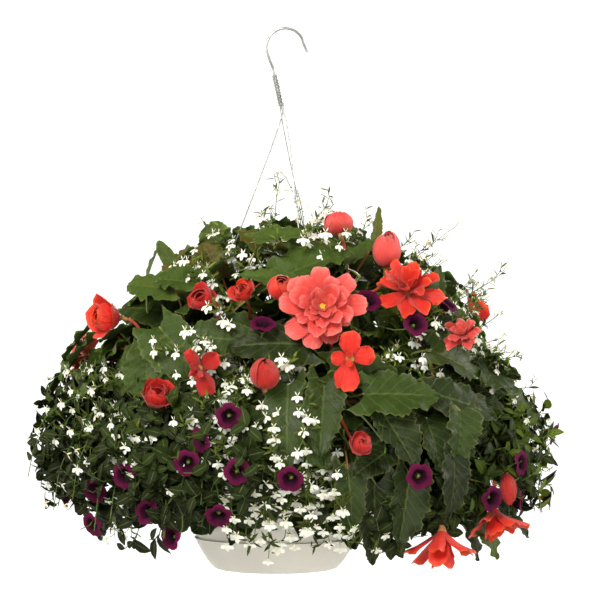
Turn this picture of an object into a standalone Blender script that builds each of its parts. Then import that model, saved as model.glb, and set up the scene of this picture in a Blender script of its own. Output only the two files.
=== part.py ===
"""A hanging basket of tuberous begonias, calibrachoa and lobelia in a plastic pot.

Lengths are millimetres until an object is made, which scales them to metres. The origin is the
centre of the saucer's underside, +Z is up and the basket's front faces -Y. A place on the plants is
given as an azimuth in degrees from +X (the front is -90), a distance from the pot's axis and a height.
"""

import math
import random

import bpy
from mathutils import Matrix, Vector
from mathutils.bvhtree import BVHTree

MM = 0.001

# Pot and saucer
SEGMENTS = 24
SAUCER_BASE_RADIUS = 66.0
SAUCER_LIP_RADIUS = 91.0
SAUCER_HEIGHT = 35.5
SAUCER_WALL = 1.8
SAUCER_CURVE = 0.7
SAUCER_STEPS = (0.04, 0.3, 0.65)
POT_RIM_RADIUS = 127.0
POT_HEIGHT = 163.0
POT_WALL = 2.0
POT_CLEARANCE = 0.8
RIM_ROLL = 4.0
RIM_DEPTH = 5.0
DRAIN_HOLES = 5
DRAIN_RADIUS = 4.0
DRAIN_CIRCLE = 38.0

# Soil, set below the rim and mounded to its middle
SOIL_EDGE = 140.0
SOIL_MOUND = 12.0
SOIL_RING = 66.0
SOIL_HOLE_DEPTH = 17.0
CONTACT_GAP = 0.35

# Hook and hanger wires
HOOK_WIRE = 1.4
HOOK_CENTRE = Vector((10.6, 0.0, 583.3))
HOOK_BEND = 21.0
CROWN_STEPS = 9
SHANK_TOP = Vector((-2.2, 0.0, 555.5))
SHANK_FOOT = Vector((6.4, 0.0, 516.0))
HANGER_WIRE = 0.7
WRAP_RADIUS = 2.9
WRAP_TURNS = 2.25
WRAP_POINTS = 7
HANGER_HOLE_HEIGHT = 148.0
HANGER_HOLE_RADIUS = 1.25
# Where a wire goes through the rim: distance out from the wall, height over the hole
HANGER_TAIL = [(-4.2, 30), (-4.0, 4), (-3.2, 0.2), (1.2, 0), (2.2, 1.2), (2.3, 5.5)]
# Each wire's azimuth at the rim, and the bend where it leaves the shank
HANGERS = {
    "left": (172.0, (-6.2, 2.0, 467.6)),
    "front": (-68.0, (16.4, -14.0, 467.6)),
    "back": (52.0, (13.5, 11.0, 467.6)),
}

# Clearance kept between the pieces of different plants, and above what the basket may stand on
CLEARANCE = 0.5
LOWEST = 3.0
BLOOM_STUB = 11.0
BLOOM_STALK = 1.6
LAYER_STEP = 2.6
LEAF_THICKNESS = 0.9
PETAL_THICKNESS = 0.9
PETAL_ROOT = 0.2
SMALL_THICKNESS = 0.8

# Stems, stalks and leaves
BEGONIA_RADIUS = 3.4
CALIBRACHOA_FOOT_RADIUS = 2.6
CALIBRACHOA_RADIUS = 1.4
LOBELIA_FOOT_RADIUS = 2.2
LOBELIA_RADIUS = 1.0
PETIOLE_RADIUS = 1.3
TRUMPET_STALK = 1.0
FLORET_STALK = 0.7
FOOT_STEP = 8.0
ROUTE_STEPS = 7
LEAF_KEEL = 1.1
LEAF_ROWS = (0.12, 0.38, 0.62, 0.84)
LEAF_TOOTH = 0.07
LEAF_WAVE = 0.09
LEAF_WAVES = 2.5
LEAF_SWELL = 0.5
LEAF_TAPER = 0.8
LEAF_ROOT = 0.12
LEAF_HEART = 0.24
LEAF_WIDEST = (LEAF_SWELL - LEAF_TAPER * LEAF_ROOT) / (LEAF_SWELL + LEAF_TAPER)
LEAF_FULL = (LEAF_WIDEST + LEAF_ROOT) ** LEAF_SWELL * (1 - LEAF_WIDEST) ** LEAF_TAPER
GOLDEN_SHARE = 0.618034

# Begonia stems: azimuth, root distance, end distance, end height
BEGONIA_STEMS = {
    "front_top": (-78, 40, 160, 280),
    "right_top": (-47, 44, 135, 325),
    "front_middle": (-70, 70, 215, 195),
    "left_front": (-117, 70, 200, 212),
    "left_top": (-112, 42, 118, 288),
    "front_low": (-93, 78, 215, 190),
    "left": (-152, 70, 180, 245),
    "right": (-33, 70, 212, 240),
    "right_low": (-42, 102, 222, 95),
    "left_back": (170, 70, 190, 225),
    "back_left": (128, 72, 190, 225),
    "back": (88, 45, 165, 270),
    "back_right": (45, 72, 205, 215),
    "right_back": (8, 78, 228, 195),
}

# Petal layers of each kind of bloom: count, length, width, opening from the axis, arch, first angle
BLOOM_KINDS = {
    "double": [(6, 47, 38, 84, 20, 10), (5, 37, 33, 60, 10, 38), (4, 24, 22, 34, -15, 5)],
    "cup": [(5, 27, 25, 52, -30, 10), (3, 20, 19, 26, -30, 50)],
    "goblet": [(5, 33, 26, 24, 8, 20), (3, 24, 20, 10, 0, 60)],
    "star": [(4, 35, 26, 82, 10, 0), (4, 17, 11, 40, 0, 45)],
    "fan": [(8, 37, 16, 72, 12, 20), (3, 22, 12, 30, 0, 0)],
    "bell": [(8, 37, 18, 48, -14, 12), (3, 25, 14, 16, 0, 40)],
    "bud": [(3, 29, 22, 16, -60, 30)],
}

# Blooms: kind, colour, size, place x y z, facing azimuth and elevation, turn about the axis
BLOOMS = {
    "bloom_coral_double": ("double", "coral", 1.0, (50, -214, 292), (-88, 10), 0),
    "bloom_coral_half": ("cup", "coral", 0.84, (71, -82, 372), (-112, 46), 0),
    "bloom_coral_side": ("goblet", "coral", 0.95, (119, -124, 336), (-75, 66), 0),
    "bloom_orange_fan": ("fan", "orange", 0.95, (141, -158, 308), (-84, 42), 10),
    "bloom_orange_star": ("star", "orange", 0.95, (78, -243, 240), (-88, 4), 0),
    "bloom_red_left": ("cup", "orange", 1.1, (-170, -97, 281), (-168, 12), 0),
    "bloom_red_cup": ("cup", "red", 0.95, (-124, -212, 193), (-112, 30), 20),
    "bloom_red_tall": ("cup", "red", 0.85, (-73, -160, 295), (-140, -8), 0),
    "bloom_red_low": ("star", "red", 0.8, (-76, -222, 230), (-112, -18), 30),
    "bloom_orange_back": ("cup", "orange", 0.7, (-31, -156, 304), (-104, 34), 0),
    "bud_red": ("bud", "red", 1.05, (-9, -252, 212), (-90, -34), 0),
    "bud_red_double": ("cup", "red", 0.62, (88, -262, 151), (-84, 4), 15),
    "bloom_coral_small": ("cup", "coral", 0.76, (201, -146, 262), (-70, 34), 0),
    "bud_hanging": ("bud", "red", 0.95, (245, -154, 116), (-60, -72), 0),
    "bloom_orange_bell": ("bell", "orange", 1.0, (175, -196, 60), (-96, -78), 0),
    "bloom_orange_side": ("bell", "orange", 0.88, (232, -140, 78), (-62, -56), 20),
    "bloom_orange_behind": ("cup", "orange", 0.76, (6, -176, 304), (-122, 20), 0),
    "bloom_coral_west": ("double", "coral", 0.78, (-214, 40, 236), (168, 12), 0),
    "bloom_red_northwest": ("cup", "red", 0.95, (-140, 126, 296), (136, 26), 0),
    "bloom_orange_north": ("fan", "orange", 0.95, (-78, 214, 236), (110, 20), 0),
    "bloom_coral_north": ("goblet", "coral", 0.9, (30, 158, 326), (82, 55), 0),
    "bloom_red_northeast": ("double", "red", 0.72, (160, 186, 236), (50, 14), 0),
    "bloom_orange_east": ("cup", "orange", 0.9, (222, 84, 282), (22, 30), 0),
    "bloom_orange_low_east": ("bell", "orange", 0.9, (252, 104, 118), (24, -70), 0),
}

# Large begonia leaves that the front shows: base, tip, width
FRONT_LEAVES = [
    ((92, -238, 204), (176, -226, 208), 54),
    ((54, -238, 218), (50, -276, 146), 42),
    ((14, -240, 214), (12, -282, 134), 46),
    ((108, -232, 190), (150, -258, 134), 48),
    ((158, -212, 178), (178, -240, 130), 44),
    ((190, -206, 150), (186, -222, 192), 32),
    ((180, -212, 150), (190, -226, 86), 30),
    ((178, -170, 254), (258, -122, 226), 52),
    ((168, -204, 202), (246, -172, 186), 48),
    ((246, -92, 206), (300, -78, 166), 42),
    ((104, -236, 112), (106, -222, 22), 44),
    ((140, -226, 120), (132, -238, 46), 46),
    ((76, -248, 128), (84, -256, 58), 34),
    ((-122, -154, 272), (-86, -200, 232), 52),
    ((-136, -150, 268), (-130, -196, 226), 46),
    ((-108, -110, 312), (-160, -96, 322), 44),
    ((-198, -34, 276), (-244, -30, 240), 40),
    ((-184, -84, 248), (-222, -108, 196), 46),
    ((-232, -24, 200), (-266, -26, 156), 36),
    ((-58, -74, 346), (-72, -62, 394), 36),
    ((-142, -60, 318), (-132, -58, 360), 13),
    ((-84, -128, 318), (-128, -112, 330), 38),
    ((-22, -98, 366), (28, -108, 380), 28),
    ((108, -60, 362), (116, -52, 404), 14),
    ((172, -120, 296), (182, -116, 338), 24),
    ((16, -156, 320), (-38, -160, 332), 30),
    ((-60, -228, 172), (-88, -256, 132), 40),
    ((-166, -150, 92), (-196, -140, 46), 28),
    ((206, -184, 236), (244, -160, 250), 26),
    ((28, -244, 166), (56, -268, 132), 34),
]
SEEDED_LEAVES = 26
SEEDED_LEAF_LENGTH = (58, 92)
SEEDED_LEAF_WIDTH = 0.64
FRONT_LEAF_SEED = 100
SEEDED_LEAF_SEED = 500
LEAF_TRIES = 18

# Outline of the whole bush: height, distance from its own axis, which is a little right of the pot's
BUSH_CENTRE = Vector((24.0, 0.0, 0.0))
BUSH_OUTLINE = [
    (20, 222), (54, 262), (130, 286), (188, 276), (233, 258), (280, 226), (310, 202), (350, 160), (380, 112),
    (398, 60),
]

# Calibrachoa plants: root azimuth and distance, then the end of each shoot (azimuth, distance, height)
CALIBRACHOA = {
    "left": ((-160, 102), [(-162, 282, 108), (-174, 262, 92), (-150, 272, 76), (176, 262, 150)]),
    "left_front": ((-130, 102), [(-136, 262, 58), (-122, 264, 104), (-116, 256, 56), (-131, 262, 134)]),
    "front": ((-103, 102), [(-106, 268, 92), (-95, 278, 112), (-108, 262, 152), (-101, 258, 68)]),
    "right": ((-20, 102), [(-30, 290, 92), (-13, 304, 132), (-21, 300, 72), (-4, 304, 90)]),
    "right_top": ((-58, 56), [(-42, 208, 296), (-34, 226, 278), (-56, 196, 292)]),
    "back": ((68, 102), [(92, 262, 84), (58, 282, 112), (74, 262, 160), (42, 286, 78)]),
    "back_left": ((146, 102), [(158, 266, 84), (134, 262, 110), (146, 262, 160), (118, 256, 70)]),
}
# Calibrachoa flowers that the front shows
FRONT_TRUMPETS = [
    (-88, -260, 134), (-77, -262, 160), (-32, -276, 125), (17, -282, 119), (-146, -222, 116),
    (-132, -224, 82), (-262, -20, 121), (-191, -168, 98), (-194, -150, 61), (-107, -228, 56), (-52, -256, 72),
    (111, -182, 306), (148, -190, 276), (194, -140, 284), (149, -252, 120), (229, -184, 92),
    (257, -146, 86), (262, -158, 128), (312, -8, 150), (308, -4, 78), (-45, -266, 182), (2, -216, 284),
]
SEEDED_TRUMPETS = 16
TRUMPET_SEED = 700
TRUMPET_TRIES = 12
TRUMPET_LOBES = 5
TRUMPET_RADIUS = 14.0
TRUMPET_DEPTH = 15.0
SHOOT_LEAF_LENGTH = (20, 27)
SHOOT_LEAF_WIDTH = 0.44

# Lobelia plants: root azimuth and distance, then the end of each stem
LOBELIA = {
    "front": ((-84, 104), [(-100, 258, 58), (-91, 262, 42), (-82, 262, 66), (-74, 256, 58), (-97, 272, 118),
                           (-86, 274, 150)]),
    "left": ((-145, 98), [(-140, 276, 92), (-152, 288, 150), (-126, 268, 130), (-132, 250, 52),
                          (-158, 262, 214)]),
    "top": ((-96, 14), [(-76, 22, 436), (-122, 112, 376), (-138, 152, 346), (-66, 128, 372),
                        (-106, 168, 322)]),
    "right": ((-60, 98), [(-8, 196, 378), (-62, 238, 236), (-50, 252, 214), (-6, 256, 332), (-36, 246, 286)]),
    "right_low": ((0, 104), [(-9, 306, 150), (-17, 302, 112), (6, 292, 182), (-25, 296, 168)]),
    "back": ((110, 98), [(112, 256, 86), (96, 246, 196), (128, 262, 140), (84, 178, 330), (150, 250, 200)]),
}
LOBELIA_LEAF_LENGTH = (14, 19)
LOBELIA_LEAF_WIDTH = 0.24
FLORET_SIZE = 17.0
FLORET_DEPTH = 4.0
# A floret's corners: angle, share of its size
FLORET_OUTLINE = [
    (-18, 0.5), (20, 0.2), (62, 0.46), (90, 0.18), (118, 0.46), (160, 0.2), (198, 0.5), (242, 0.26),
    (270, 0.56), (298, 0.26),
]

# Small pieces along the shoots: kind of plant, first ring, every so many walls, seed
FLORETS = ("lobelia_", 3, 4, 2000)
SHOOT_LEAVES = ("calibrachoa_", 2, 4, 9000)
LOBELIA_LEAVES = ("lobelia_", 2, 8, 16000)
SMALL_TRIES = 5
BLOOM_TRIES = 12

# Finishes: colour, roughness, metallic
COLOURS = {
    "pot": ("#CFCAC0", 0.45, 0.0),
    "soil": ("#3A2A1E", 0.95, 0.0),
    "steel": ("#8C8F8E", 0.35, 1.0),
    "begonia": ("#3A5A2C", 0.5, 0.0),
    "calibrachoa": ("#4F7034", 0.55, 0.0),
    "lobelia": ("#C9D3B0", 0.6, 0.0),
    "coral": ("#FF6B66", 0.5, 0.0),
    "orange": ("#F8401F", 0.5, 0.0),
    "red": ("#DC2012", 0.5, 0.0),
}


def linear(hex_colour):
    """sRGB hex colour as linear RGBA."""
    parts = [int(hex_colour[i:i + 2], 16) / 255 for i in (1, 3, 5)]
    return [p / 12.92 if p <= 0.04045 else ((p + 0.055) / 1.055) ** 2.4 for p in parts] + [1.0]


def finish(name):
    """The material of one of the named finishes, made once."""
    found = bpy.data.materials.get(name)
    if found:
        return found
    colour, roughness, metallic = COLOURS[name]
    made = bpy.data.materials.new(name)
    made.use_nodes = True
    shader = made.node_tree.nodes["Principled BSDF"]
    shader.inputs["Base Color"].default_value = linear(colour)
    shader.inputs["Roughness"].default_value = roughness
    shader.inputs["Metallic"].default_value = metallic
    return made


def add_object(name, solid, finish_name):
    """An object of the scene from a solid in millimetres."""
    points, faces = solid
    mesh = bpy.data.meshes.new(name)
    mesh.from_pydata([p * MM for p in points], [], faces)
    mesh.update()
    made = bpy.data.objects.new(name, mesh)
    bpy.context.scene.collection.objects.link(made)
    made.data.materials.append(finish(finish_name))
    return made


def cut(target, solids):
    """Cuts solids from an object."""
    tools = bpy.data.collections.new("tools")
    bpy.context.scene.collection.children.link(tools)
    for points, faces in solids:
        mesh = bpy.data.meshes.new("tool")
        mesh.from_pydata([p * MM for p in points], [], faces)
        tools.objects.link(bpy.data.objects.new("tool", mesh))
    modifier = target.modifiers.new("cut", "BOOLEAN")
    modifier.operation = "DIFFERENCE"
    modifier.operand_type = "COLLECTION"
    modifier.collection = tools
    modifier.solver = "EXACT"
    bpy.context.view_layer.objects.active = target
    bpy.ops.object.modifier_apply(modifier=modifier.name)
    for tool in list(tools.objects):
        bpy.data.objects.remove(tool)
    bpy.data.collections.remove(tools)


def turned(profile, segments=SEGMENTS):
    """Solid of revolution about the z axis: the profile runs from its low end on the axis, out and up."""
    points = []
    rings = []
    for radius, height in profile:
        if radius == 0:
            rings.append([len(points)] * segments)
            points.append(Vector((0, 0, height)))
            continue
        rings.append([len(points) + k for k in range(segments)])
        for k in range(segments):
            angle = 2 * math.pi * k / segments
            points.append(Vector((radius * math.cos(angle), radius * math.sin(angle), height)))
    faces = []
    for low, high in zip(rings, rings[1:]):
        for k in range(segments):
            nxt = (k + 1) % segments
            corners = [low[k], low[nxt], high[nxt], high[k]]
            faces.append([c for i, c in enumerate(corners) if c not in corners[:i]])
    return points, faces


def polar(azimuth, distance, height):
    """A point from its azimuth in degrees, distance from the axis and height."""
    angle = math.radians(azimuth)
    return Vector((distance * math.cos(angle), distance * math.sin(angle), height))


def direction(azimuth, elevation):
    """Unit vector from an azimuth and an elevation in degrees."""
    return polar(azimuth, math.cos(math.radians(elevation)), math.sin(math.radians(elevation)))


def bezier(p0, p1, p2, p3, count):
    """Points along a cubic curve, both ends included."""
    points = []
    for i in range(count + 1):
        t = i / count
        s = 1 - t
        points.append(p0 * s ** 3 + p1 * (3 * s * s * t) + p2 * (3 * s * t * t) + p3 * t ** 3)
    return points


def frame_of(along, normal_hint, origin):
    """Placing matrix whose x runs along a blade and whose z is its upper side."""
    x = along.normalized()
    y = normal_hint.cross(x).normalized()
    z = x.cross(y)
    matrix = Matrix((x, y, z)).transposed().to_4x4()
    matrix.translation = origin
    return matrix


class Tube:
    """A stem, stalk or wire along a path, with its ends cut square."""

    def __init__(self, path, start_radius, end_radius, sides):
        self.path = path
        self.start_radius = start_radius
        self.end_radius = end_radius
        self.sides = sides

    def solid(self, grow=0.0):
        """Its points and faces, with its wall moved out by grow."""
        path = self.path
        last = len(path) - 1
        tangents = []
        for i in range(last + 1):
            before = path[max(i - 1, 0)]
            after = path[min(i + 1, last)]
            tangents.append((after - before).normalized())
        across = tangents[0].orthogonal().normalized()
        points = []
        for i, (centre, tangent) in enumerate(zip(path, tangents)):
            across = (across - tangent * across.dot(tangent)).normalized()
            side = tangent.cross(across)
            radius = self.start_radius + (self.end_radius - self.start_radius) * i / last + grow
            for k in range(self.sides):
                angle = 2 * math.pi * k / self.sides
                step = across * (radius * math.cos(angle))
                points.append(centre + step + side * (radius * math.sin(angle)))
        faces = [list(range(self.sides))[::-1]]
        for i in range(last):
            for k in range(self.sides):
                nxt = (k + 1) % self.sides
                low = i * self.sides
                faces.append([low + k, low + nxt, low + self.sides + nxt, low + self.sides + k])
        faces.append([last * self.sides + k for k in range(self.sides)])
        return points, faces

    def whole(self, grow):
        return self.solid(grow)

    def free(self, grow):
        """Nothing: a stem may meet its own plant."""
        return None


def bridge(points, faces, far_ring, near_ring):
    """Joins two rings of three points at their best turn, both anticlockwise about the way to the far one."""
    def stretch(turn):
        return sum((points[far_ring[k]] - points[near_ring[(k + turn) % 3]]).length for k in range(3))
    turn = min(range(3), key=stretch)
    near = [near_ring[(k + turn) % 3] for k in range(3)]
    for k in range(3):
        nxt = (k + 1) % 3
        faces.append([far_ring[k], near[k], near[nxt]])
        faces.append([far_ring[k], near[nxt], far_ring[nxt]])


def small_ring(centre, axis, radius):
    """Three points round a centre, anticlockwise about the axis."""
    across = axis.orthogonal().normalized()
    side = axis.normalized().cross(across)
    ring = []
    for degrees in (0, 120, 240):
        angle = math.radians(degrees)
        ring.append(centre + across * (radius * math.cos(angle)) + side * (radius * math.sin(angle)))
    return ring


class SidePiece:
    """A leaf, flower or stalk that grows from a triangle opened in a shoot's wall."""

    def __init__(self, root, route, radius):
        self.root = root
        self.route = route
        self.radius = radius

    def open_solid(self, grow):
        """Points, faces and the open ring of three points at its near end."""
        raise NotImplementedError

    def with_route(self, points, faces, ring, grow):
        """Adds rings down the route to the near end of a piece."""
        before = sum((points[i] for i in ring), Vector()) / 3
        for centre in self.route:
            start = len(points)
            points += small_ring(centre, before - centre, self.radius + grow)
            bridge(points, faces, ring, [start, start + 1, start + 2])
            ring = [start, start + 1, start + 2]
            before = centre
        return points, faces, ring

    def closed_by(self, grow, end):
        """Its solid, closed by a near end of three points."""
        points, faces, ring = self.open_solid(grow)
        start = len(points)
        points += end
        bridge(points, faces, ring, [start, start + 1, start + 2])
        faces.append([start + 2, start + 1, start])
        return points, faces

    def whole(self, grow):
        return self.closed_by(grow, list(self.root))

    def free(self, grow):
        """All but the stretch next to its own shoot, which stays clear of its own plant too."""
        points, faces, ring = self.open_solid(grow)
        near = sum((points[i] for i in ring), Vector()) / 3
        foot = sum(self.root, Vector()) / 3
        return self.closed_by(grow, small_ring(foot + (near - foot) * 0.35, near - foot, self.radius + grow))


class Shoot(Tube):
    """A three-sided stem whose side pieces grow out of its walls; it may itself grow from a foot's wall."""

    def __init__(self, path, start_radius, end_radius, forked=False):
        super().__init__(path, start_radius, end_radius, 3)
        self.forked = forked
        self.pieces = {}

    def free(self, grow):
        """A forked shoot stays clear of its own plant but for its first stretch."""
        if not self.forked:
            return None
        start = self.path[0].lerp(self.path[1], 0.25)
        return Tube([start] + self.path[1:], self.start_radius, self.end_radius, 3).solid(grow)

    def root_triangle(self, ring, side):
        """The triangle of the wall that a side piece grows from, and the way out of it."""
        points, faces = self.solid()
        a, b = points[3 * ring + side], points[3 * ring + (side + 1) % 3]
        e, c = points[3 * ring + 3 + side], points[3 * ring + 3 + (side + 1) % 3]
        low, high = (a + b) / 2, (c + e) / 2
        reach = min(1.3 * (a - b).length / (high - low).length, 0.45)
        corner = low + (high - low) * reach
        return [a, b, corner], (b - a).cross(corner - a).normalized()

    def free_roots(self, first_ring=1):
        """Every wall from which nothing grows yet."""
        for ring in range(first_ring, len(self.path) - 1):
            for side in range(3):
                if (ring, side) not in self.pieces:
                    yield ring, side

    def assembled(self):
        """The stem with its side pieces, as one closed skin."""
        points, faces, ring = self.open_solid(0)
        faces.append(ring[::-1])
        return points, faces

    def open_solid(self, grow):
        """The same skin left open at its near end."""
        points, tube_faces = self.solid()
        faces = [tube_faces[-1]]
        for ring in range(len(self.path) - 1):
            for side in range(3):
                a, b = 3 * ring + side, 3 * ring + (side + 1) % 3
                e, c = a + 3, b + 3
                piece = self.pieces.get((ring, side))
                if piece is None:
                    faces.append([a, b, c, e])
                    continue
                d = len(points)
                points.append(self.root_triangle(ring, side)[0][2])
                faces += [[b, c, d], [c, e, d], [e, a, d]]
                own_points, own_faces, own_ring = piece.open_solid(0)
                start = len(points)
                points += own_points
                faces += [[i + start for i in face] for face in own_faces]
                bridge(points, faces, [i + start for i in own_ring], [a, b, d])
        return points, faces, [0, 1, 2]


class Foot(Shoot):
    """The short thick foot of a plant, from whose walls its shoots fork."""


class Stalk(SidePiece):
    """A stalk that ends square, where a bloom's own stalk meets it."""

    def open_solid(self, grow):
        points = small_ring(self.route[0], self.route[0] - self.route[1], self.radius + grow)
        tail = Stalk(self.root, self.route[1:], self.radius)
        return tail.with_route(points, [[0, 1, 2]], [0, 1, 2], grow)


class LargeLeaf(SidePiece):
    """A begonia leaf: a thin blade bent from a lopsided heart-shaped outline, on its own stalk.

    Along the blade, u runs from its base (0) to its tip (1); across it, v runs from edge (-1) to edge (1).
    """

    def __init__(self, root, route, radius, place, length, width, seed):
        super().__init__(root, route, radius)
        draw = random.Random(seed)
        self.place = place
        self.length = length
        self.width = width
        self.skew = draw.uniform(-0.16, 0.16)
        self.arch = math.radians(draw.uniform(8, 34))
        self.fold = math.radians(draw.uniform(4, 13))
        self.phase = draw.uniform(0, 6)

    def middle(self, u, v, edge, grow):
        """A point of the blade's middle surface, and the blade's upper direction there."""
        shape = (u + LEAF_ROOT) ** LEAF_SWELL * max(1 - u, 0.0) ** LEAF_TAPER / LEAF_FULL
        half = (0.5 * self.width * shape * (1 + self.skew * v) + grow) * edge
        along = self.length * (u - LEAF_HEART * v * v * (1 - u) ** 3)
        turn = self.arch * along / self.length
        shift = 1.7 if v > 0 else 0.0
        lift = abs(v) * half * math.sin(self.fold)
        lift += LEAF_WAVE * half * v * v * math.sin(2 * math.pi * LEAF_WAVES * u + self.phase + shift)
        bend = self.length / self.arch
        centre = Vector((bend * math.sin(turn), v * half * math.cos(self.fold), -bend * (1 - math.cos(turn))))
        upper = Vector((math.sin(turn), 0, math.cos(turn)))
        return self.place @ (centre + upper * lift), self.place.to_3x3() @ upper

    def open_solid(self, grow):
        half = LEAF_THICKNESS / 2 + grow
        points = []
        for row, u in enumerate(LEAF_ROWS):
            edge = 1 + (LEAF_TOOTH if row % 2 else -LEAF_TOOTH)
            ring = [self.middle(u, v, edge, grow) for v in (1, 0, -1)]
            points += [centre + upper * half for centre, upper in ring]
            points += [centre - upper * half for centre, upper in ring[::-1]]
        faces = []
        for row in range(len(LEAF_ROWS) - 1):
            faces += blade_span(6 * row, 6 * row + 6)
        left, mid, right, right_low, mid_low, left_low = range(len(points) - 6, len(points))
        tip = len(points)
        points.append(self.middle(1, 0, 1, grow)[0])
        faces += [[mid, tip, left], [right, tip, mid], [mid_low, left_low, tip], [right_low, mid_low, tip],
                  [left, tip, left_low], [tip, right, right_low]]
        base = len(points)
        wide = self.radius + grow
        points += [self.place @ Vector((0, wide, half)), self.place @ Vector((0, -wide, half)),
                   self.place @ Vector((0, 0, -wide))]
        near_left, near_right, keel = base, base + 1, base + 2
        faces += [[0, near_left, 1], [1, near_left, near_right], [1, near_right, 2], [2, near_right, 3],
                  [3, near_right, keel], [3, keel, 4], [4, keel, 5], [5, keel, near_left], [5, near_left, 0]]
        return self.with_route(points, faces, [near_left, near_right, keel], grow)


def blade_span(near, far):
    """Faces between two cross-sections of a blade, split alike on its upper and its lower side.

    A cross-section's six points run left, middle, right on top and right, middle, left below.
    """
    left, mid, right, right_low, mid_low, left_low = range(near, near + 6)
    far_left, far_mid, far_right, far_right_low, far_mid_low, far_left_low = range(far, far + 6)
    top = [[mid, far_mid, far_left], [mid, far_left, left],
           [right, far_right, mid], [far_right, far_mid, mid]]
    below = [[mid_low, far_left_low, far_mid_low], [mid_low, left_low, far_left_low],
             [right_low, mid_low, far_right_low], [far_right_low, mid_low, far_mid_low]]
    sides = [[left, far_left, far_left_low], [left, far_left_low, left_low],
             [far_right, right, right_low], [far_right, right_low, far_right_low]]
    return top + below + sides


class SmallLeaf(SidePiece):
    """A small pointed leaf, flat above and keeled below."""

    def __init__(self, root, place, length, width):
        super().__init__(root, [], 0.5 * SMALL_THICKNESS)
        self.place = place
        self.length = length
        self.width = width

    def open_solid(self, grow):
        middle = 0.5 * self.length
        half = 0.5 * self.width + grow
        corners = [(middle, half, grow), (middle, -half, grow), (middle, 0, -LEAF_KEEL - grow)]
        points = [self.place @ Vector(corner) for corner in corners]
        points.append(self.place @ Vector((self.length + grow, 0, -0.12 * self.length)))
        return points, [[0, 1, 3], [1, 2, 3], [2, 0, 3]], [0, 1, 2]


def lofted(rings, top_point=None):
    """Closed solid through rings of points, from a flower's face down to the end of its stalk.

    Each ring turns anticlockwise seen from the face; neighbouring rings may differ in their count.
    """
    points = [p for ring in rings for p in ring]
    starts = [sum(len(r) for r in rings[:i]) for i in range(len(rings))]
    first = len(rings[0])
    if top_point is None:
        faces = [list(range(first))]
    else:
        faces = [[k, (k + 1) % first, len(points)] for k in range(first)]
        points.append(top_point)
    for start, upper, next_start, lower in zip(starts, rings, starts[1:], rings[1:]):
        i = j = 0
        while i < len(upper) or j < len(lower):
            here = start + i % len(upper)
            below = next_start + j % len(lower)
            if j == len(lower) or (i < len(upper) and (i + 0.5) / len(upper) < (j + 0.5) / len(lower)):
                i += 1
                faces.append([here, below, start + i % len(upper)])
            else:
                j += 1
                faces.append([here, below, next_start + j % len(lower)])
    last = starts[-1]
    faces.append([last + k for k in range(len(rings[-1]))][::-1])
    return points, faces


class SmallFlower(SidePiece):
    """A small flower whose underside runs down into its own thin stalk."""

    def __init__(self, root, route, radius, place, neck):
        super().__init__(root, route, radius)
        self.place = place
        self.neck = neck

    def open_solid(self, grow):
        rings, middle = self.head_rings(grow)
        neck = [polar(angle, self.radius + grow, -self.neck) for angle in (60, 180, 300)]
        points, faces = lofted(rings + [neck], middle)
        faces.pop()
        start = sum(len(ring) for ring in rings)
        placed = [self.place @ p for p in points]
        return self.with_route(placed, faces, [start, start + 1, start + 2], grow)


class Trumpet(SmallFlower):
    """A calibrachoa flower: a short tube flared to five shallow lobes."""

    def head_rings(self, grow):
        """Its rim, and the bottom of its throat."""
        rim = []
        for k in range(2 * TRUMPET_LOBES):
            reach = (TRUMPET_RADIUS if k % 2 else 0.84 * TRUMPET_RADIUS) + grow
            rim.append(polar(180 * k / TRUMPET_LOBES, reach, grow if k % 2 else grow - 1.2))
        return [rim], Vector((0, 0, -0.3 * TRUMPET_DEPTH + grow))


class Floret(SmallFlower):
    """A lobelia flower: three broad lower lobes and two narrow upper ones."""

    def head_rings(self, grow):
        """The outline of its lobes; nothing marks its middle."""
        return [[polar(angle, reach * FLORET_SIZE + grow, grow) for angle, reach in FLORET_OUTLINE]], None


def petal_sheet(origin, facing, sideways, layer, size, turn):
    """One ring of petals: middle points with their upper directions, and the petals' triangles.

    Each petal takes four points in turn: the notch before it, its right shoulder, its tip and its
    left shoulder. The notches ring the bloom's core.
    """
    count, length, width, opening, arch, first = layer
    centres = []
    uppers = []
    triangles = []
    upward = facing.cross(sideways)
    for k in range(count):
        stretch = size * (1 + 0.1 * math.sin(2.4 * k + first))
        lean = math.radians(opening + (6 if k % 2 else -6))
        angle = math.radians(first + turn + 360 * k / count)
        out = sideways * math.cos(angle) + upward * math.sin(angle)
        tangent = facing.cross(out)
        along = facing * math.cos(lean) + out * math.sin(lean)
        inner = facing * math.sin(lean) - out * math.cos(lean)
        tip_lean = lean + math.radians(arch)
        tip_along = facing * math.cos(tip_lean) + out * math.sin(tip_lean)
        notch_angle = angle - math.pi / count
        notch_out = sideways * math.cos(notch_angle) + upward * math.sin(notch_angle)
        core_lean = math.radians(opening)
        notch_along = facing * math.cos(core_lean) + notch_out * math.sin(core_lean)
        notch_inner = facing * math.sin(core_lean) - notch_out * math.cos(core_lean)
        shoulder = along * (0.66 * length * stretch)
        room = 0.94 * shoulder.cross(facing).length * math.sin(math.pi / count)
        half_width = min(0.5 * width * stretch, room)
        half = tangent * half_width
        lift = inner * (0.24 * half_width)
        tip = shoulder + tip_along * (0.34 * length * stretch)
        centres += [origin + notch_along * (PETAL_ROOT * length * size), origin + shoulder - half + lift,
                    origin + tip, origin + shoulder + half + lift]
        uppers += [notch_inner, inner, inner, inner]
        notch, right, point, left = (4 * k + i for i in range(4))
        next_notch = 4 * ((k + 1) % count)
        triangles += [(notch, right, left), (notch, left, next_notch), (right, point, left)]
    return centres, uppers, triangles


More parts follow.
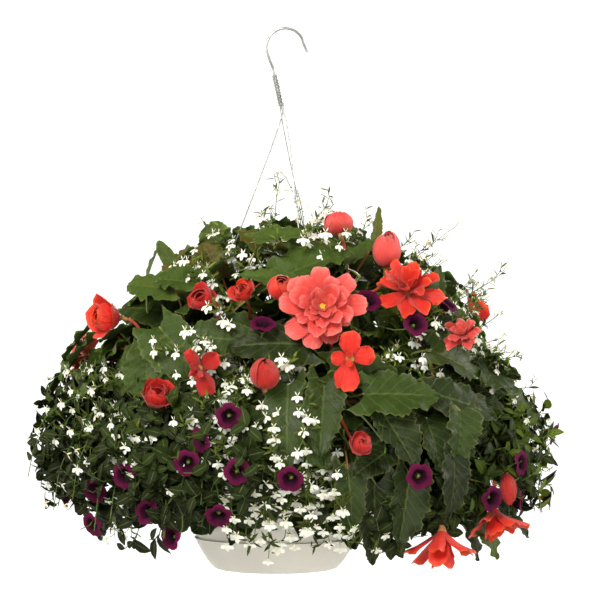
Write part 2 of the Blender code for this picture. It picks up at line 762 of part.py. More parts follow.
class Bloom:
    """Petals in layers, each a little further up the axis, on one core that narrows to a short stalk."""

    def __init__(self, kind, size, origin, facing, turn):
        self.kind = kind
        self.size = size
        self.origin = origin
        self.facing = facing
        self.turn = turn
        self.stub_end = origin - facing * BLOOM_STUB

    def solid(self, grow=0.0):
        facing = self.facing
        hint = Vector((0, 0, 1)) if abs(facing.z) < 0.95 else Vector((1, 0, 0))
        sideways = hint.cross(facing).normalized()
        half = PETAL_THICKNESS / 2 + grow
        points = []
        faces = []
        below = None
        layers = BLOOM_KINDS[self.kind]
        for number, layer in enumerate(layers):
            origin = self.origin + facing * (LAYER_STEP * number)
            centres, uppers, triangles = petal_sheet(origin, facing, sideways, layer, self.size, self.turn)
            count = len(centres)
            start = len(points)
            points += [c + u * half for c, u in zip(centres, uppers)]
            points += [c - u * half for c, u in zip(centres, uppers)]
            for a, b, c in triangles:
                faces.append([start + a, start + b, start + c])
                faces.append([start + count + a, start + count + c, start + count + b])
            for k in range(layer[0]):
                rim = [4 * k, 4 * k + 1, 4 * k + 2, 4 * k + 3, 4 * ((k + 1) % layer[0])]
                for a, b in zip(rim, rim[1:]):
                    faces.append([start + b, start + a, start + count + a, start + count + b])
            core_above = [start + 4 * k for k in range(layer[0])]
            core_below = [start + count + 4 * k for k in range(layer[0])]
            if below is None:
                stalk = len(points)
                for angle in (60, 180, 300):
                    swing = math.radians(angle + self.turn)
                    out = sideways * math.cos(swing) + facing.cross(sideways) * math.sin(swing)
                    points.append(self.stub_end + out * (BLOOM_STALK + grow))
                below = [stalk, stalk + 1, stalk + 2]
                faces.append(below[::-1])
            zip_rings(points, faces, core_below, below)
            below = core_above
        middle = len(points)
        points.append(self.origin + facing * (LAYER_STEP * len(layers) + grow))
        for k, near in enumerate(below):
            faces.append([near, below[(k + 1) % len(below)], middle])
        return points, faces

    def whole(self, grow):
        return self.solid(grow)

    def free(self, grow):
        return None


def zip_rings(points, faces, upper, lower):
    """Joins two rings that turn anticlockwise about an axis, from their closest points."""
    def bearing(ring, k):
        centre = sum((points[i] for i in ring), Vector()) / len(ring)
        return (points[ring[k]] - centre).normalized()
    first = max(range(len(lower)), key=lambda j: bearing(lower, j).dot(bearing(upper, 0)))
    lower = lower[first:] + lower[:first]
    i = j = 0
    while i < len(upper) or j < len(lower):
        here, below = upper[i % len(upper)], lower[j % len(lower)]
        if j == len(lower) or (i < len(upper) and (i + 0.5) / len(upper) < (j + 0.5) / len(lower)):
            i += 1
            faces.append([here, below, upper[i % len(upper)]])
        else:
            j += 1
            faces.append([here, below, lower[j % len(lower)]])


def saucer_radius(height):
    """Outer radius of the saucer at a height."""
    rise = (height / SAUCER_HEIGHT) ** SAUCER_CURVE
    return SAUCER_BASE_RADIUS + (SAUCER_LIP_RADIUS - SAUCER_BASE_RADIUS) * rise


def pot_radius(height):
    """Outer radius of the pot: curved inside the saucer, then straight to the rim."""
    knee = saucer_radius(SAUCER_HEIGHT) - SAUCER_WALL - POT_CLEARANCE
    if height < SAUCER_HEIGHT:
        return saucer_radius(height) - SAUCER_WALL - POT_CLEARANCE
    return knee + (POT_RIM_RADIUS - knee) * (height - SAUCER_HEIGHT) / (POT_HEIGHT - SAUCER_HEIGHT)


def saucer_solid():
    """The clip-on saucer, a shallow curved bowl with a small lip."""
    heights = [share * SAUCER_HEIGHT for share in SAUCER_STEPS]
    outer = [(0, 0), (SAUCER_BASE_RADIUS, 0)]
    outer += [(saucer_radius(z), z) for z in heights]
    outer += [(SAUCER_LIP_RADIUS, SAUCER_HEIGHT)]
    inner = [(SAUCER_LIP_RADIUS - SAUCER_WALL, SAUCER_HEIGHT)]
    inner += [(saucer_radius(z) - SAUCER_WALL, z) for z in heights[:0:-1]]
    inner += [(SAUCER_BASE_RADIUS - 0.5, SAUCER_WALL), (0, SAUCER_WALL)]
    return turned(outer + inner)


POT_FOOT = SAUCER_WALL + CONTACT_GAP
POT_STEPS = [0.3 * SAUCER_HEIGHT, 0.65 * SAUCER_HEIGHT, SAUCER_HEIGHT]
POT_FOOT_RADIUS = SAUCER_BASE_RADIUS - 4.0
POT_FLOOR = POT_FOOT + POT_WALL


def pot_solid():
    """The tapered tub with its rolled rim, open at the top."""
    rim_low = POT_HEIGHT - RIM_DEPTH
    outer = [(0, POT_FOOT), (POT_FOOT_RADIUS, POT_FOOT)]
    outer += [(pot_radius(z), z) for z in POT_STEPS]
    outer += [(pot_radius(rim_low), rim_low), (POT_RIM_RADIUS + RIM_ROLL - 1, rim_low)]
    outer += [(POT_RIM_RADIUS + RIM_ROLL, POT_HEIGHT - 2), (POT_RIM_RADIUS + RIM_ROLL - 2, POT_HEIGHT)]
    inner = [(POT_RIM_RADIUS - POT_WALL, POT_HEIGHT)]
    inner += [(pot_radius(z) - POT_WALL, z) for z in POT_STEPS[::-1]]
    inner += [(POT_FOOT_RADIUS - 1, POT_FLOOR), (0, POT_FLOOR)]
    return turned(outer + inner)


def soil_height(distance):
    """Height of the soil's mounded top at a distance from the axis."""
    return SOIL_EDGE + SOIL_MOUND * (1 - (distance / (pot_radius(SOIL_EDGE) - POT_WALL)) ** 2)


def soil_solid():
    """The compost that fills the pot, just clear of its wall."""
    inset = POT_WALL + CONTACT_GAP
    side = [(pot_radius(z) - inset, z) for z in POT_STEPS + [SOIL_EDGE]]
    foot = [(0, POT_FLOOR + CONTACT_GAP), (POT_FOOT_RADIUS - 2, POT_FLOOR + CONTACT_GAP)]
    return turned(foot + side + [(SOIL_RING, soil_height(SOIL_RING)), (0, soil_height(0))])


def hook_path():
    """The hook's crown as an arc, then its curve into the long shank."""
    tip = HOOK_CENTRE + Vector((HOOK_BEND + 3.5, 0, -5.5))
    crown = []
    for step in range(CROWN_STEPS + 1):
        angle = math.radians(8 + 192 * step / CROWN_STEPS)
        crown.append(HOOK_CENTRE + Vector((math.cos(angle), 0, math.sin(angle))) * HOOK_BEND)
    bend = SHANK_TOP + Vector((-1.4, 0, 6.5))
    neck = bezier(crown[-1], crown[-1] + Vector((2.2, 0, -9)), bend, SHANK_TOP, 3)
    return [tip] + crown + neck[1:] + [SHANK_FOOT]


def hanger_path(start_angle, azimuth, kink):
    """One hanger wire: wound round the shank, straight to the rim and bent out through its hole."""
    axis = SHANK_FOOT - SHANK_TOP
    down = axis.normalized()
    side = Vector((0, 1, 0))
    across = side.cross(down)
    points = []
    steps = int(WRAP_TURNS * WRAP_POINTS)
    for step in range(steps + 1):
        angle = math.radians(start_angle) + 2 * math.pi * (step - steps) / WRAP_POINTS
        spot = SHANK_TOP + axis * (0.1 + 0.86 * step / steps)
        points.append(spot + (across * math.cos(angle) + side * math.sin(angle)) * WRAP_RADIUS)
    points.append(Vector(kink))
    wall = pot_radius(HANGER_HOLE_HEIGHT)
    for out, up in HANGER_TAIL:
        points.append(polar(azimuth, wall + out, HANGER_HOLE_HEIGHT + up))
    return points


class Garden:
    """Everything placed so far, against which each new piece is tested."""

    def __init__(self):
        self.placed = []
        self.nodes = {}
        self.shoots = []

    def measured(self, solid):
        """A solid's lowest and highest corner, and its faces as a tree to search."""
        points, faces = solid
        low = [min(p[i] for p in points) for i in range(3)]
        high = [max(p[i] for p in points) for i in range(3)]
        return low, high, BVHTree.FromPolygons([tuple(p) for p in points], faces)

    def is_clear(self, node, shape):
        """True when the shape, grown by the clearance, touches nothing of another node.

        Its free part stays clear of its own node too. The soil doesn't count for a stem, which is
        rooted in it.
        """
        whole = self.measured(shape.whole(CLEARANCE))
        if whole[0][2] < LOWEST:
            return False
        free = shape.free(CLEARANCE)
        free = None if free is None else self.measured(free)
        for owner, other in self.placed:
            mine = free if owner == node else whole
            if mine is None or (owner == "soil" and isinstance(shape, Tube)):
                continue
            if any(mine[0][i] > other[1][i] or mine[1][i] < other[0][i] for i in range(3)):
                continue
            if mine[2].overlap(other[2]):
                return False
        return True

    def place(self, node, shape):
        """Places a shape, which the node begins with or which grows from it."""
        self.placed.append((node, self.measured(shape.whole(0.0))))
        if isinstance(shape, Shoot) and not isinstance(shape, Foot):
            self.shoots.append((node, shape))
        self.nodes.setdefault(node, shape)

    def place_solid(self, node, solid):
        """Places a solid of the hardware or the soil."""
        self.placed.append((node, self.measured(solid)))

    def place_first_clear(self, node, variants):
        """Places the first of the variants that is clear."""
        for shape in variants:
            if self.is_clear(node, shape):
                self.place(node, shape)
                return

    def roots_near(self, prefix, target, first_ring=2):
        """Free walls of the shoots of one kind of plant, the handiest for a target first."""
        options = []
        for node, shoot in self.shoots:
            if not node.startswith(prefix):
                continue
            for ring, side in shoot.free_roots(first_ring):
                root, outward = shoot.root_triangle(ring, side)
                span = target - root[0]
                cost = span.length * (1.5 - 0.5 * outward.dot(span.normalized()))
                options.append((cost, node, shoot, ring, side))
        options.sort(key=lambda option: option[0])
        return options

    def grow(self, node, shoot, ring, side, piece):
        """Lets a side piece grow from a shoot if it is clear there."""
        if not self.is_clear(node, piece):
            return False
        self.place(node, piece)
        shoot.pieces[(ring, side)] = piece
        return True


def frame_core(facing, upward, origin):
    """Placing matrix whose z is the way a flower faces."""
    matrix = Matrix((upward.cross(facing), upward, facing)).transposed().to_4x4()
    matrix.translation = origin
    return matrix


def place_blooms(garden):
    """All blooms at their places, each nudged outward a little if something is in its way."""
    for name, (kind, colour, size, spot, (azimuth, elevation), turn) in BLOOMS.items():
        facing = direction(azimuth, elevation)
        outward = Vector((spot[0], spot[1], 0)).normalized()
        variants = [Bloom(kind, size, Vector(spot) + outward * (2.5 * step), facing, turn + 7 * step)
                    for step in range(BLOOM_TRIES)]
        garden.place_first_clear(name, variants)


def arching_route(start, root_azimuth, root_distance, end_azimuth, end_distance, end_height, lean=0.0):
    """A stem from its start by the soil, up and over, clear of the rim, to where it ends."""
    overhang = min(max((230 - end_height) * 0.75, -40), 135)
    pull = min(max((end_height - 150) * 0.25, 0), 50)
    rise = max(238, 0.5 * (end_height + 175))
    first = polar(root_azimuth + lean, root_distance + 0.1 * (end_distance - root_distance), rise)
    second = polar(end_azimuth + lean, end_distance - pull, end_height + overhang)
    return bezier(start, first, second, polar(end_azimuth, end_distance, end_height), ROUTE_STEPS)


def rooted(route, root_azimuth, root_distance):
    """The route with its straight foot in the soil put before it."""
    foot = polar(root_azimuth, root_distance, soil_height(root_distance) - SOIL_HOLE_DEPTH + CONTACT_GAP)
    return [foot] + route


def place_begonia_stems(garden, roots):
    """The begonias' thick stems, each leant or lowered a little if something is in its way."""
    for name, (azimuth, root_distance, end_distance, end_height) in BEGONIA_STEMS.items():
        node = "begonia_" + name
        roots[node] = (azimuth, root_distance, BEGONIA_RADIUS)
        variants = []
        for lean in (0, 3, -3, 6, -6, 9, -9):
            for lower in (0, 12, 24):
                start = polar(azimuth, root_distance, soil_height(root_distance) + 3)
                route = arching_route(start, azimuth, root_distance, azimuth, end_distance - lower / 2,
                                      end_height - lower, lean)
                path = rooted(route, azimuth, root_distance)
                variants.append(Shoot(path, BEGONIA_RADIUS, 0.7 * BEGONIA_RADIUS))
        garden.place_first_clear(node, variants)


def place_shoots(garden, roots, plants, prefix, foot_radius, radius):
    """The bare shoots of the trailing plants, forked from the walls of one foot each."""
    for name, ((azimuth, distance), ends) in plants.items():
        node = prefix + name
        roots[node] = (azimuth, distance, foot_radius)
        top = soil_height(distance)
        heights = [top - SOIL_HOLE_DEPTH + CONTACT_GAP, top + 1, top + 1 + FOOT_STEP, top + 1 + 2 * FOOT_STEP]
        foot = Foot([polar(azimuth, distance, height) for height in heights], foot_radius, foot_radius)
        garden.place(node, foot)
        for end in ends:
            fork_shoot(garden, node, foot, azimuth, distance, end, radius)


def fork_shoot(garden, node, foot, azimuth, distance, end, radius):
    """One shoot from whichever wall of the foot faces its end best and leaves it a clear way."""
    end_azimuth, end_distance, end_height = end
    away = polar(end_azimuth, end_distance, 0) - polar(azimuth, distance, 0)
    walls = []
    for ring, side in foot.free_roots(1):
        root, outward = foot.root_triangle(ring, side)
        walls.append((-outward.dot(away.normalized()), ring, side, sum(root, Vector()) / 3 + outward * 1.6))
    walls.sort(key=lambda wall: wall[0])
    for lean in (0, 4, -4, 8, -8, 12, -12):
        for shift in (0, 5, -5, 10, -10, 16):
            for facing, ring, side, start in walls:
                route = arching_route(start, azimuth, distance, end_azimuth + shift / 2,
                                      end_distance - abs(shift), end_height + shift, lean)
                shoot = Shoot(route, radius, 0.75 * radius, forked=True)
                if garden.grow(node, foot, ring, side, shoot):
                    return


def link_route(root, outward, target, arrival, count):
    """Points of a stalk between a wall and its target, from the target back, both ends left out."""
    start = sum(root, Vector()) / 3
    span = (target - start).length
    toward = (target - start).normalized()
    leave = start + (outward * 0.6 + toward * 0.5) * (0.35 * span)
    return bezier(start, leave, target - arrival * (0.32 * span), target, count)[-2:0:-1]


def link_to_bloom(garden):
    """A stalk from a begonia stem to each bloom, ending square at the bloom's own stub."""
    for name, (kind, colour, size, spot, (azimuth, elevation), turn) in BLOOMS.items():
        if name not in garden.nodes:
            continue
        facing = direction(azimuth, elevation)
        target = garden.nodes[name].stub_end - facing * CONTACT_GAP
        for cost, node, shoot, ring, side in garden.roots_near("begonia", target)[:60]:
            root, outward = shoot.root_triangle(ring, side)
            inner = link_route(root, outward, target - facing * 3, facing, 3)
            stalk = Stalk(root, [target, target - facing * 3] + inner, BLOOM_STALK)
            behind = Stalk(root, [target - facing * 3] + inner, BLOOM_STALK)
            if garden.is_clear(node, behind):
                garden.place(node, stalk)
                shoot.pieces[(ring, side)] = stalk
                break


def leaf_on(root, outward, base, tip, width, normal, seed):
    """A large leaf whose stalk reaches back to a wall."""
    along = tip - base
    place = frame_of(along, normal, base)
    upper = place.to_3x3() @ Vector((0, 0, 1))
    arrival = (along.normalized() * 0.8 + upper * 0.4).normalized()
    route = link_route(root, outward, base, arrival, 2)
    return LargeLeaf(root, route, PETIOLE_RADIUS, place, along.length, width, seed)


def bush_distance(height):
    """Distance of the bush's outline from its own axis at a height."""
    for (low, near), (high, far) in zip(BUSH_OUTLINE, BUSH_OUTLINE[1:]):
        if height <= high:
            share = max(0.0, (height - low) / (high - low))
            return near + (far - near) * share
    return BUSH_OUTLINE[-1][1]


def outward_at(spot):
    """The way the bush's surface faces at a place on it."""
    flat = Vector((spot.x - BUSH_CENTRE.x, spot.y, 0)).normalized()
    lift = min(max((spot.z - 130) / 200, -0.25), 1.6)
    return (flat + Vector((0, 0, lift))).normalized()


def place_leaf(garden, base, tip, width, seed):
    """One large leaf on the nearest stem that it can reach, shifted inward step by step if it must be."""
    draw = random.Random(seed)
    for attempt in range(LEAF_TRIES):
        wander = Vector([draw.uniform(-1, 1) * 2.2 * attempt for axis in range(3)])
        inward = outward_at(base) * (-1.6 * attempt)
        new_base = base + inward + wander * 0.5
        new_tip = tip + inward + wander
        normal = outward_at((base + tip) / 2) + Vector((0, 0, 0.25))
        for cost, node, shoot, ring, side in garden.roots_near("begonia", new_base)[:18:3]:
            root, outward = shoot.root_triangle(ring, side)
            leaf = leaf_on(root, outward, new_base, new_tip, width, normal, seed)
            if garden.grow(node, shoot, ring, side, leaf):
                return


def place_large_leaves(garden):
    """The leaves that the front shows, then others all round by a seeded rule."""
    for number, (base, tip, width) in enumerate(FRONT_LEAVES):
        place_leaf(garden, Vector(base), Vector(tip), width, FRONT_LEAF_SEED + number)
    for number in range(SEEDED_LEAVES):
        seed = SEEDED_LEAF_SEED + number
        draw = random.Random(seed)
        azimuth = -20 + 220 * ((number * GOLDEN_SHARE) % 1)
        height = 55 + 320 * ((number + 0.5) / SEEDED_LEAVES)
        reach = bush_distance(height)
        length = draw.uniform(*SEEDED_LEAF_LENGTH)
        tip = BUSH_CENTRE + polar(azimuth, reach * 0.97, height)
        swing = direction(azimuth + draw.uniform(-70, 70), -35 + 0.22 * (height - 60))
        place_leaf(garden, tip - swing * length, tip, SEEDED_LEAF_WIDTH * length, seed)


def place_trumpets(garden):
    """Calibrachoa flowers, each on a thin stalk from the nearest shoot."""
    spots = [Vector(spot) for spot in FRONT_TRUMPETS]
    for number in range(SEEDED_TRUMPETS):
        draw = random.Random(TRUMPET_SEED + number)
        azimuth = 10 + 180 * ((number * GOLDEN_SHARE) % 1)
        height = draw.uniform(60, 190)
        spots.append(BUSH_CENTRE + polar(azimuth, bush_distance(height) * 0.98, height))
    for number, spot in enumerate(spots):
        place_trumpet(garden, spot, TRUMPET_SEED + number)


def place_trumpet(garden, spot, seed):
    """One flower on the nearest shoot that it can reach, shifted a little further at each try."""
    draw = random.Random(seed)
    for attempt in range(TRUMPET_TRIES):
        centre = spot + Vector([draw.uniform(-1, 1) * 2.0 * attempt for axis in range(3)])
        facing = (outward_at(spot) + Vector([draw.uniform(-0.4, 0.4) for axis in range(3)])).normalized()
        place = frame_core(facing, facing.orthogonal().normalized(), centre)
        neck = centre - facing * TRUMPET_DEPTH
        for cost, node, shoot, ring, side in garden.roots_near("calibrachoa", neck)[:16:3]:
            root, outward = shoot.root_triangle(ring, side)
            route = link_route(root, outward, neck, facing, 2)
            flower = Trumpet(root, route, TRUMPET_STALK, place, TRUMPET_DEPTH)
            if garden.grow(node, shoot, ring, side, flower):
                return


def place_along(garden, make, rule):
    """Side pieces on the free walls of each shoot's outer part, by a seeded rule."""
    prefix, first_ring, every, seed = rule
    for number, (node, shoot) in enumerate(garden.shoots):
        if not node.startswith(prefix):
            continue
        for turn, (ring, side) in enumerate(list(shoot.free_roots(first_ring))):
            if (turn + number) % every:
                continue
            root, outward = shoot.root_triangle(ring, side)
            forward = (shoot.path[ring + 1] - shoot.path[ring]).normalized()
            for attempt in range(SMALL_TRIES):
                draw = random.Random(seed + 1000 * number + 10 * turn + attempt)
                if garden.grow(node, shoot, ring, side, make(root, outward, forward, draw)):
                    break


def shaken(vector, draw, amount):
    """A unit vector near another."""
    return (vector + Vector([draw.uniform(-amount, amount) for axis in range(3)])).normalized()


def shoot_leaf(root, outward, forward, draw):
    """A small oval leaf of a calibrachoa shoot."""
    along = shaken(outward * 0.8 + forward * 0.6 + Vector((0, 0, 0.25)), draw, 0.3)
    length = draw.uniform(*SHOOT_LEAF_LENGTH)
    place = frame_of(along, shaken(forward + Vector((0, 0, 0.4)), draw, 0.2), sum(root, Vector()) / 3)
    return SmallLeaf(root, place, length, SHOOT_LEAF_WIDTH * length)


def lobelia_leaf(root, outward, forward, draw):
    """A narrow leaf of a lobelia stem."""
    along = shaken(outward * 0.6 + forward * 0.8, draw, 0.3)
    length = draw.uniform(*LOBELIA_LEAF_LENGTH)
    place = frame_of(along, shaken(forward, draw, 0.2), sum(root, Vector()) / 3)
    return SmallLeaf(root, place, length, LOBELIA_LEAF_WIDTH * length)


def floret(root, outward, forward, draw):
    """A floret held out on its thin stalk."""
    spot = sum(root, Vector()) / 3
    stalk = shaken(outward * 0.7 + forward * 0.5 + outward_at(spot) * 0.8, draw, 0.3)
    centre = spot + stalk * draw.uniform(16, 26)
    facing = shaken(stalk + outward_at(spot) + Vector((0, 0, 0.2)), draw, 0.2)
    sideways = Vector((0, 0, 1)).cross(facing).normalized()
    place = frame_core(facing, facing.cross(sideways), centre)
    return Floret(root, [], FLORET_STALK, place, FLORET_DEPTH)


def build_hardware(garden, roots):
    """Pot, saucer, hook and hanger wires; the soil waits for the stems' roots."""
    pot = add_object("pot", pot_solid(), "pot")
    cuts = []
    wall = pot_radius(HANGER_HOLE_HEIGHT)
    for azimuth, kink in HANGERS.values():
        path = [polar(azimuth, wall - 8, HANGER_HOLE_HEIGHT), polar(azimuth, wall + 8, HANGER_HOLE_HEIGHT)]
        cuts.append(Tube(path, HANGER_HOLE_RADIUS, HANGER_HOLE_RADIUS, 6).solid())
    for k in range(DRAIN_HOLES):
        azimuth = 18 + 360 * k / DRAIN_HOLES
        path = [polar(azimuth, DRAIN_CIRCLE, POT_FOOT - 3), polar(azimuth, DRAIN_CIRCLE, POT_FLOOR + 3)]
        cuts.append(Tube(path, DRAIN_RADIUS, DRAIN_RADIUS, 6).solid())
    cut(pot, cuts)
    garden.place_solid("pot", pot_solid())
    add_object("saucer", saucer_solid(), "pot")
    garden.place_solid("saucer", saucer_solid())
    garden.place_solid("soil", soil_solid())
    hook = Tube(hook_path(), HOOK_WIRE, HOOK_WIRE, 6)
    add_object("hook", hook.solid(), "steel")
    garden.place_solid("hook", hook.solid())
    for number, (name, (azimuth, kink)) in enumerate(HANGERS.items()):
        wire = Tube(hanger_path(180 + 120 * number, azimuth, kink), HANGER_WIRE, HANGER_WIRE, 4)
        add_object("hanger_" + name, wire.solid(), "steel")
        garden.place_solid("hanger_" + name, wire.solid())


def build_soil(roots):
    """The soil with a plain hole for each rooted stem."""
    soil = add_object("soil", soil_solid(), "soil")
    holes = []
    for azimuth, distance, radius in roots.values():
        top = soil_height(distance)
        path = [polar(azimuth, distance, top - SOIL_HOLE_DEPTH), polar(azimuth, distance, top + 12)]
        wide = (radius + CONTACT_GAP) / math.cos(math.pi / 4)
        holes.append(Tube(path, wide, wide, 4).solid())
    cut(soil, holes)


def main():
    """Builds the basket from its pot outward, so that each new piece is kept clear of those before it."""
    for old in list(bpy.data.objects):
        bpy.data.objects.remove(old)
    garden = Garden()
    roots = {}
    build_hardware(garden, roots)
    place_blooms(garden)
    place_begonia_stems(garden, roots)
    place_shoots(garden, roots, CALIBRACHOA, "calibrachoa_", CALIBRACHOA_FOOT_RADIUS, CALIBRACHOA_RADIUS)
    place_shoots(garden, roots, LOBELIA, "lobelia_", LOBELIA_FOOT_RADIUS, LOBELIA_RADIUS)
    build_soil(roots)
    link_to_bloom(garden)
    place_large_leaves(garden)
    place_trumpets(garden)
    place_along(garden, floret, FLORETS)
    place_along(garden, shoot_leaf, SHOOT_LEAVES)
    place_along(garden, lobelia_leaf, LOBELIA_LEAVES)
    for node, shape in garden.nodes.items():
        colour = BLOOMS[node][1] if node in BLOOMS else node.split("_")[0]
        add_object(node, shape.assembled() if isinstance(shape, Shoot) else shape.solid(), colour)


main()
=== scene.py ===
"""The looks of a hanging basket of tuberous begonias, calibrachoa and lobelia in a plastic pot.

Lengths are millimetres until a mesh is made. The tables of stems, blooms and leaves are those of the
part's source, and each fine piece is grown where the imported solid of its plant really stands. A place on
the plants is an azimuth in degrees from +X (the front is -90), a distance from the pot's axis and a height.
"""

import math
import random

import bpy
import numpy as np
from mathutils import Matrix, Vector
from mathutils.kdtree import KDTree


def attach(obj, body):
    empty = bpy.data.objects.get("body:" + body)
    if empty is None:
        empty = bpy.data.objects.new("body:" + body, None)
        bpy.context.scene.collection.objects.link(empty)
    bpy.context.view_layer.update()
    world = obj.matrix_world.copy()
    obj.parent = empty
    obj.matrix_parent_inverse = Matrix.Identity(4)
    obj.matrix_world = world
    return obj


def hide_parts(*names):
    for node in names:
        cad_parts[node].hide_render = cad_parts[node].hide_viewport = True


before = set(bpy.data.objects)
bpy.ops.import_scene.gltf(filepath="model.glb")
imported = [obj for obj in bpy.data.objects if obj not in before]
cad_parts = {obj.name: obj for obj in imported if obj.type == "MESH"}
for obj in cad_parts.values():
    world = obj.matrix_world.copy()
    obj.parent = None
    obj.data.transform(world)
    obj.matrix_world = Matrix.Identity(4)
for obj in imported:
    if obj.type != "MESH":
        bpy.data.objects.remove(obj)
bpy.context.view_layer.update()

MM = 0.001
UP = Vector((0, 0, 1))

# Angles past which an edge stays sharp, on grown and on turned pieces
GROWN_CREASE = math.radians(50)
TURNED_CREASE = math.radians(35)

# Pot and saucer
SAUCER_BASE_RADIUS = 66.0
SAUCER_LIP_RADIUS = 91.0
SAUCER_HEIGHT = 35.5
SAUCER_WALL = 1.8
SAUCER_CURVE = 0.7
POT_RIM_RADIUS = 127.0
POT_HEIGHT = 163.0
POT_WALL = 2.0
POT_CLEARANCE = 0.8
RIM_DEPTH = 5.0

# Soil, set below the rim and mounded to its middle
SOIL_EDGE = 140.0
SOIL_MOUND = 12.0
SOIL_HOLE_DEPTH = 17.0
CONTACT_GAP = 0.35

# Hook and hanger wires; each hanger has an azimuth and the place where its straight run leaves the shank
HOOK_WIRE = 1.4
HOOK_CENTRE = Vector((10.6, 0.0, 583.3))
HOOK_BEND = 21.0
CROWN_STEPS = 9
SHANK_TOP = Vector((-2.2, 0.0, 555.5))
SHANK_FOOT = Vector((6.4, 0.0, 516.0))
HANGER_WIRE = 0.7
WRAP_RADIUS = 2.3
WRAP_TURNS = 7
WRAP_POINTS = 10
HANGER_HOLE_HEIGHT = 148.0
# A wire's way through the rim: how far out from the wall, and how far over the hole
HANGER_TAIL = [(-4.2, 30), (-4.0, 4), (-3.2, 0.2), (1.2, 0), (2.2, 1.2), (2.3, 5.5)]
HANGERS = {
    "left": (172.0, (-6.2, 2.0, 467.6)),
    "front": (-68.0, (16.4, -14.0, 467.6)),
    "back": (52.0, (13.5, 11.0, 467.6)),
}

# Blooms: how far behind the petals the stalk begins, its radius, and the step between two layers of petals
BLOOM_STUB = 11.0
BLOOM_STALK = 1.6
LAYER_STEP = 2.6

# Stems and leaves; a leaf is widest where its swell and its taper balance
BEGONIA_RADIUS = 3.4
FOOT_STEP = 8.0
ROUTE_STEPS = 7
LEAF_WAVE = 0.09
LEAF_WAVES = 2.5
LEAF_SWELL = 0.5
LEAF_TAPER = 0.8
LEAF_ROOT = 0.12
LEAF_HEART = 0.24
LEAF_WIDEST = (LEAF_SWELL - LEAF_TAPER * LEAF_ROOT) / (LEAF_SWELL + LEAF_TAPER)
LEAF_FULL = (LEAF_WIDEST + LEAF_ROOT) ** LEAF_SWELL * (1 - LEAF_WIDEST) ** LEAF_TAPER
# Steps that spread seeded places evenly over azimuth and height
GOLDEN_SHARE = 0.618034
HEIGHT_SHARE = 0.7548777

# Begonia stems: azimuth, root distance, end distance, end height
BEGONIA_STEMS = {
    "front_top": (-78, 40, 160, 280),
    "right_top": (-47, 44, 135, 325),
    "front_middle": (-70, 70, 215, 195),
    "left_front": (-117, 70, 200, 212),
    "left_top": (-112, 42, 118, 288),
    "front_low": (-93, 78, 215, 190),
    "left": (-152, 70, 180, 245),
    "right": (-33, 70, 212, 240),
    "right_low": (-42, 102, 222, 95),
    "left_back": (170, 70, 190, 225),
    "back_left": (128, 72, 190, 225),
    "back": (88, 45, 165, 270),
    "back_right": (45, 72, 205, 215),
    "right_back": (8, 78, 228, 195),
}

# Blooms: kind, colour, size, place x y z, facing azimuth and elevation, turn about the axis
BLOOMS = {
    "bloom_coral_double": ("double", "coral", 1.0, (50, -214, 292), (-88, 10), 0),
    "bloom_coral_half": ("cup", "coral", 0.84, (71, -82, 372), (-112, 46), 0),
    "bloom_coral_side": ("goblet", "coral", 0.95, (119, -124, 336), (-75, 66), 0),
    "bloom_orange_fan": ("fan", "orange", 0.95, (141, -158, 308), (-84, 42), 10),
    "bloom_orange_star": ("star", "orange", 0.95, (78, -243, 240), (-88, 4), 0),
    "bloom_red_left": ("cup", "orange", 1.1, (-170, -97, 281), (-168, 12), 0),
    "bloom_red_cup": ("cup", "red", 0.95, (-124, -212, 193), (-112, 30), 20),
    "bloom_red_tall": ("cup", "red", 0.85, (-73, -160, 295), (-140, -8), 0),
    "bloom_red_low": ("star", "red", 0.8, (-76, -222, 230), (-112, -18), 30),
    "bloom_orange_back": ("cup", "orange", 0.7, (-31, -156, 304), (-104, 34), 0),
    "bud_red": ("bud", "red", 1.05, (-9, -252, 212), (-90, -34), 0),
    "bud_red_double": ("cup", "red", 0.62, (88, -262, 151), (-84, 4), 15),
    "bloom_coral_small": ("cup", "coral", 0.76, (201, -146, 262), (-70, 34), 0),
    "bud_hanging": ("bud", "red", 0.95, (245, -154, 116), (-60, -72), 0),
    "bloom_orange_bell": ("bell", "orange", 1.0, (175, -196, 60), (-96, -78), 0),
    "bloom_orange_side": ("bell", "orange", 0.88, (232, -140, 78), (-62, -56), 20),
    "bloom_orange_behind": ("cup", "orange", 0.76, (6, -176, 304), (-122, 20), 0),
    "bloom_coral_west": ("double", "coral", 0.78, (-214, 40, 236), (168, 12), 0),
    "bloom_red_northwest": ("cup", "red", 0.95, (-140, 126, 296), (136, 26), 0),
    "bloom_orange_north": ("fan", "orange", 0.95, (-78, 214, 236), (110, 20), 0),
    "bloom_coral_north": ("goblet", "coral", 0.9, (30, 158, 326), (82, 55), 0),
    "bloom_red_northeast": ("double", "red", 0.72, (160, 186, 236), (50, 14), 0),
    "bloom_orange_east": ("cup", "orange", 0.9, (222, 84, 282), (22, 30), 0),
    "bloom_orange_low_east": ("bell", "orange", 0.9, (252, 104, 118), (24, -70), 0),
}

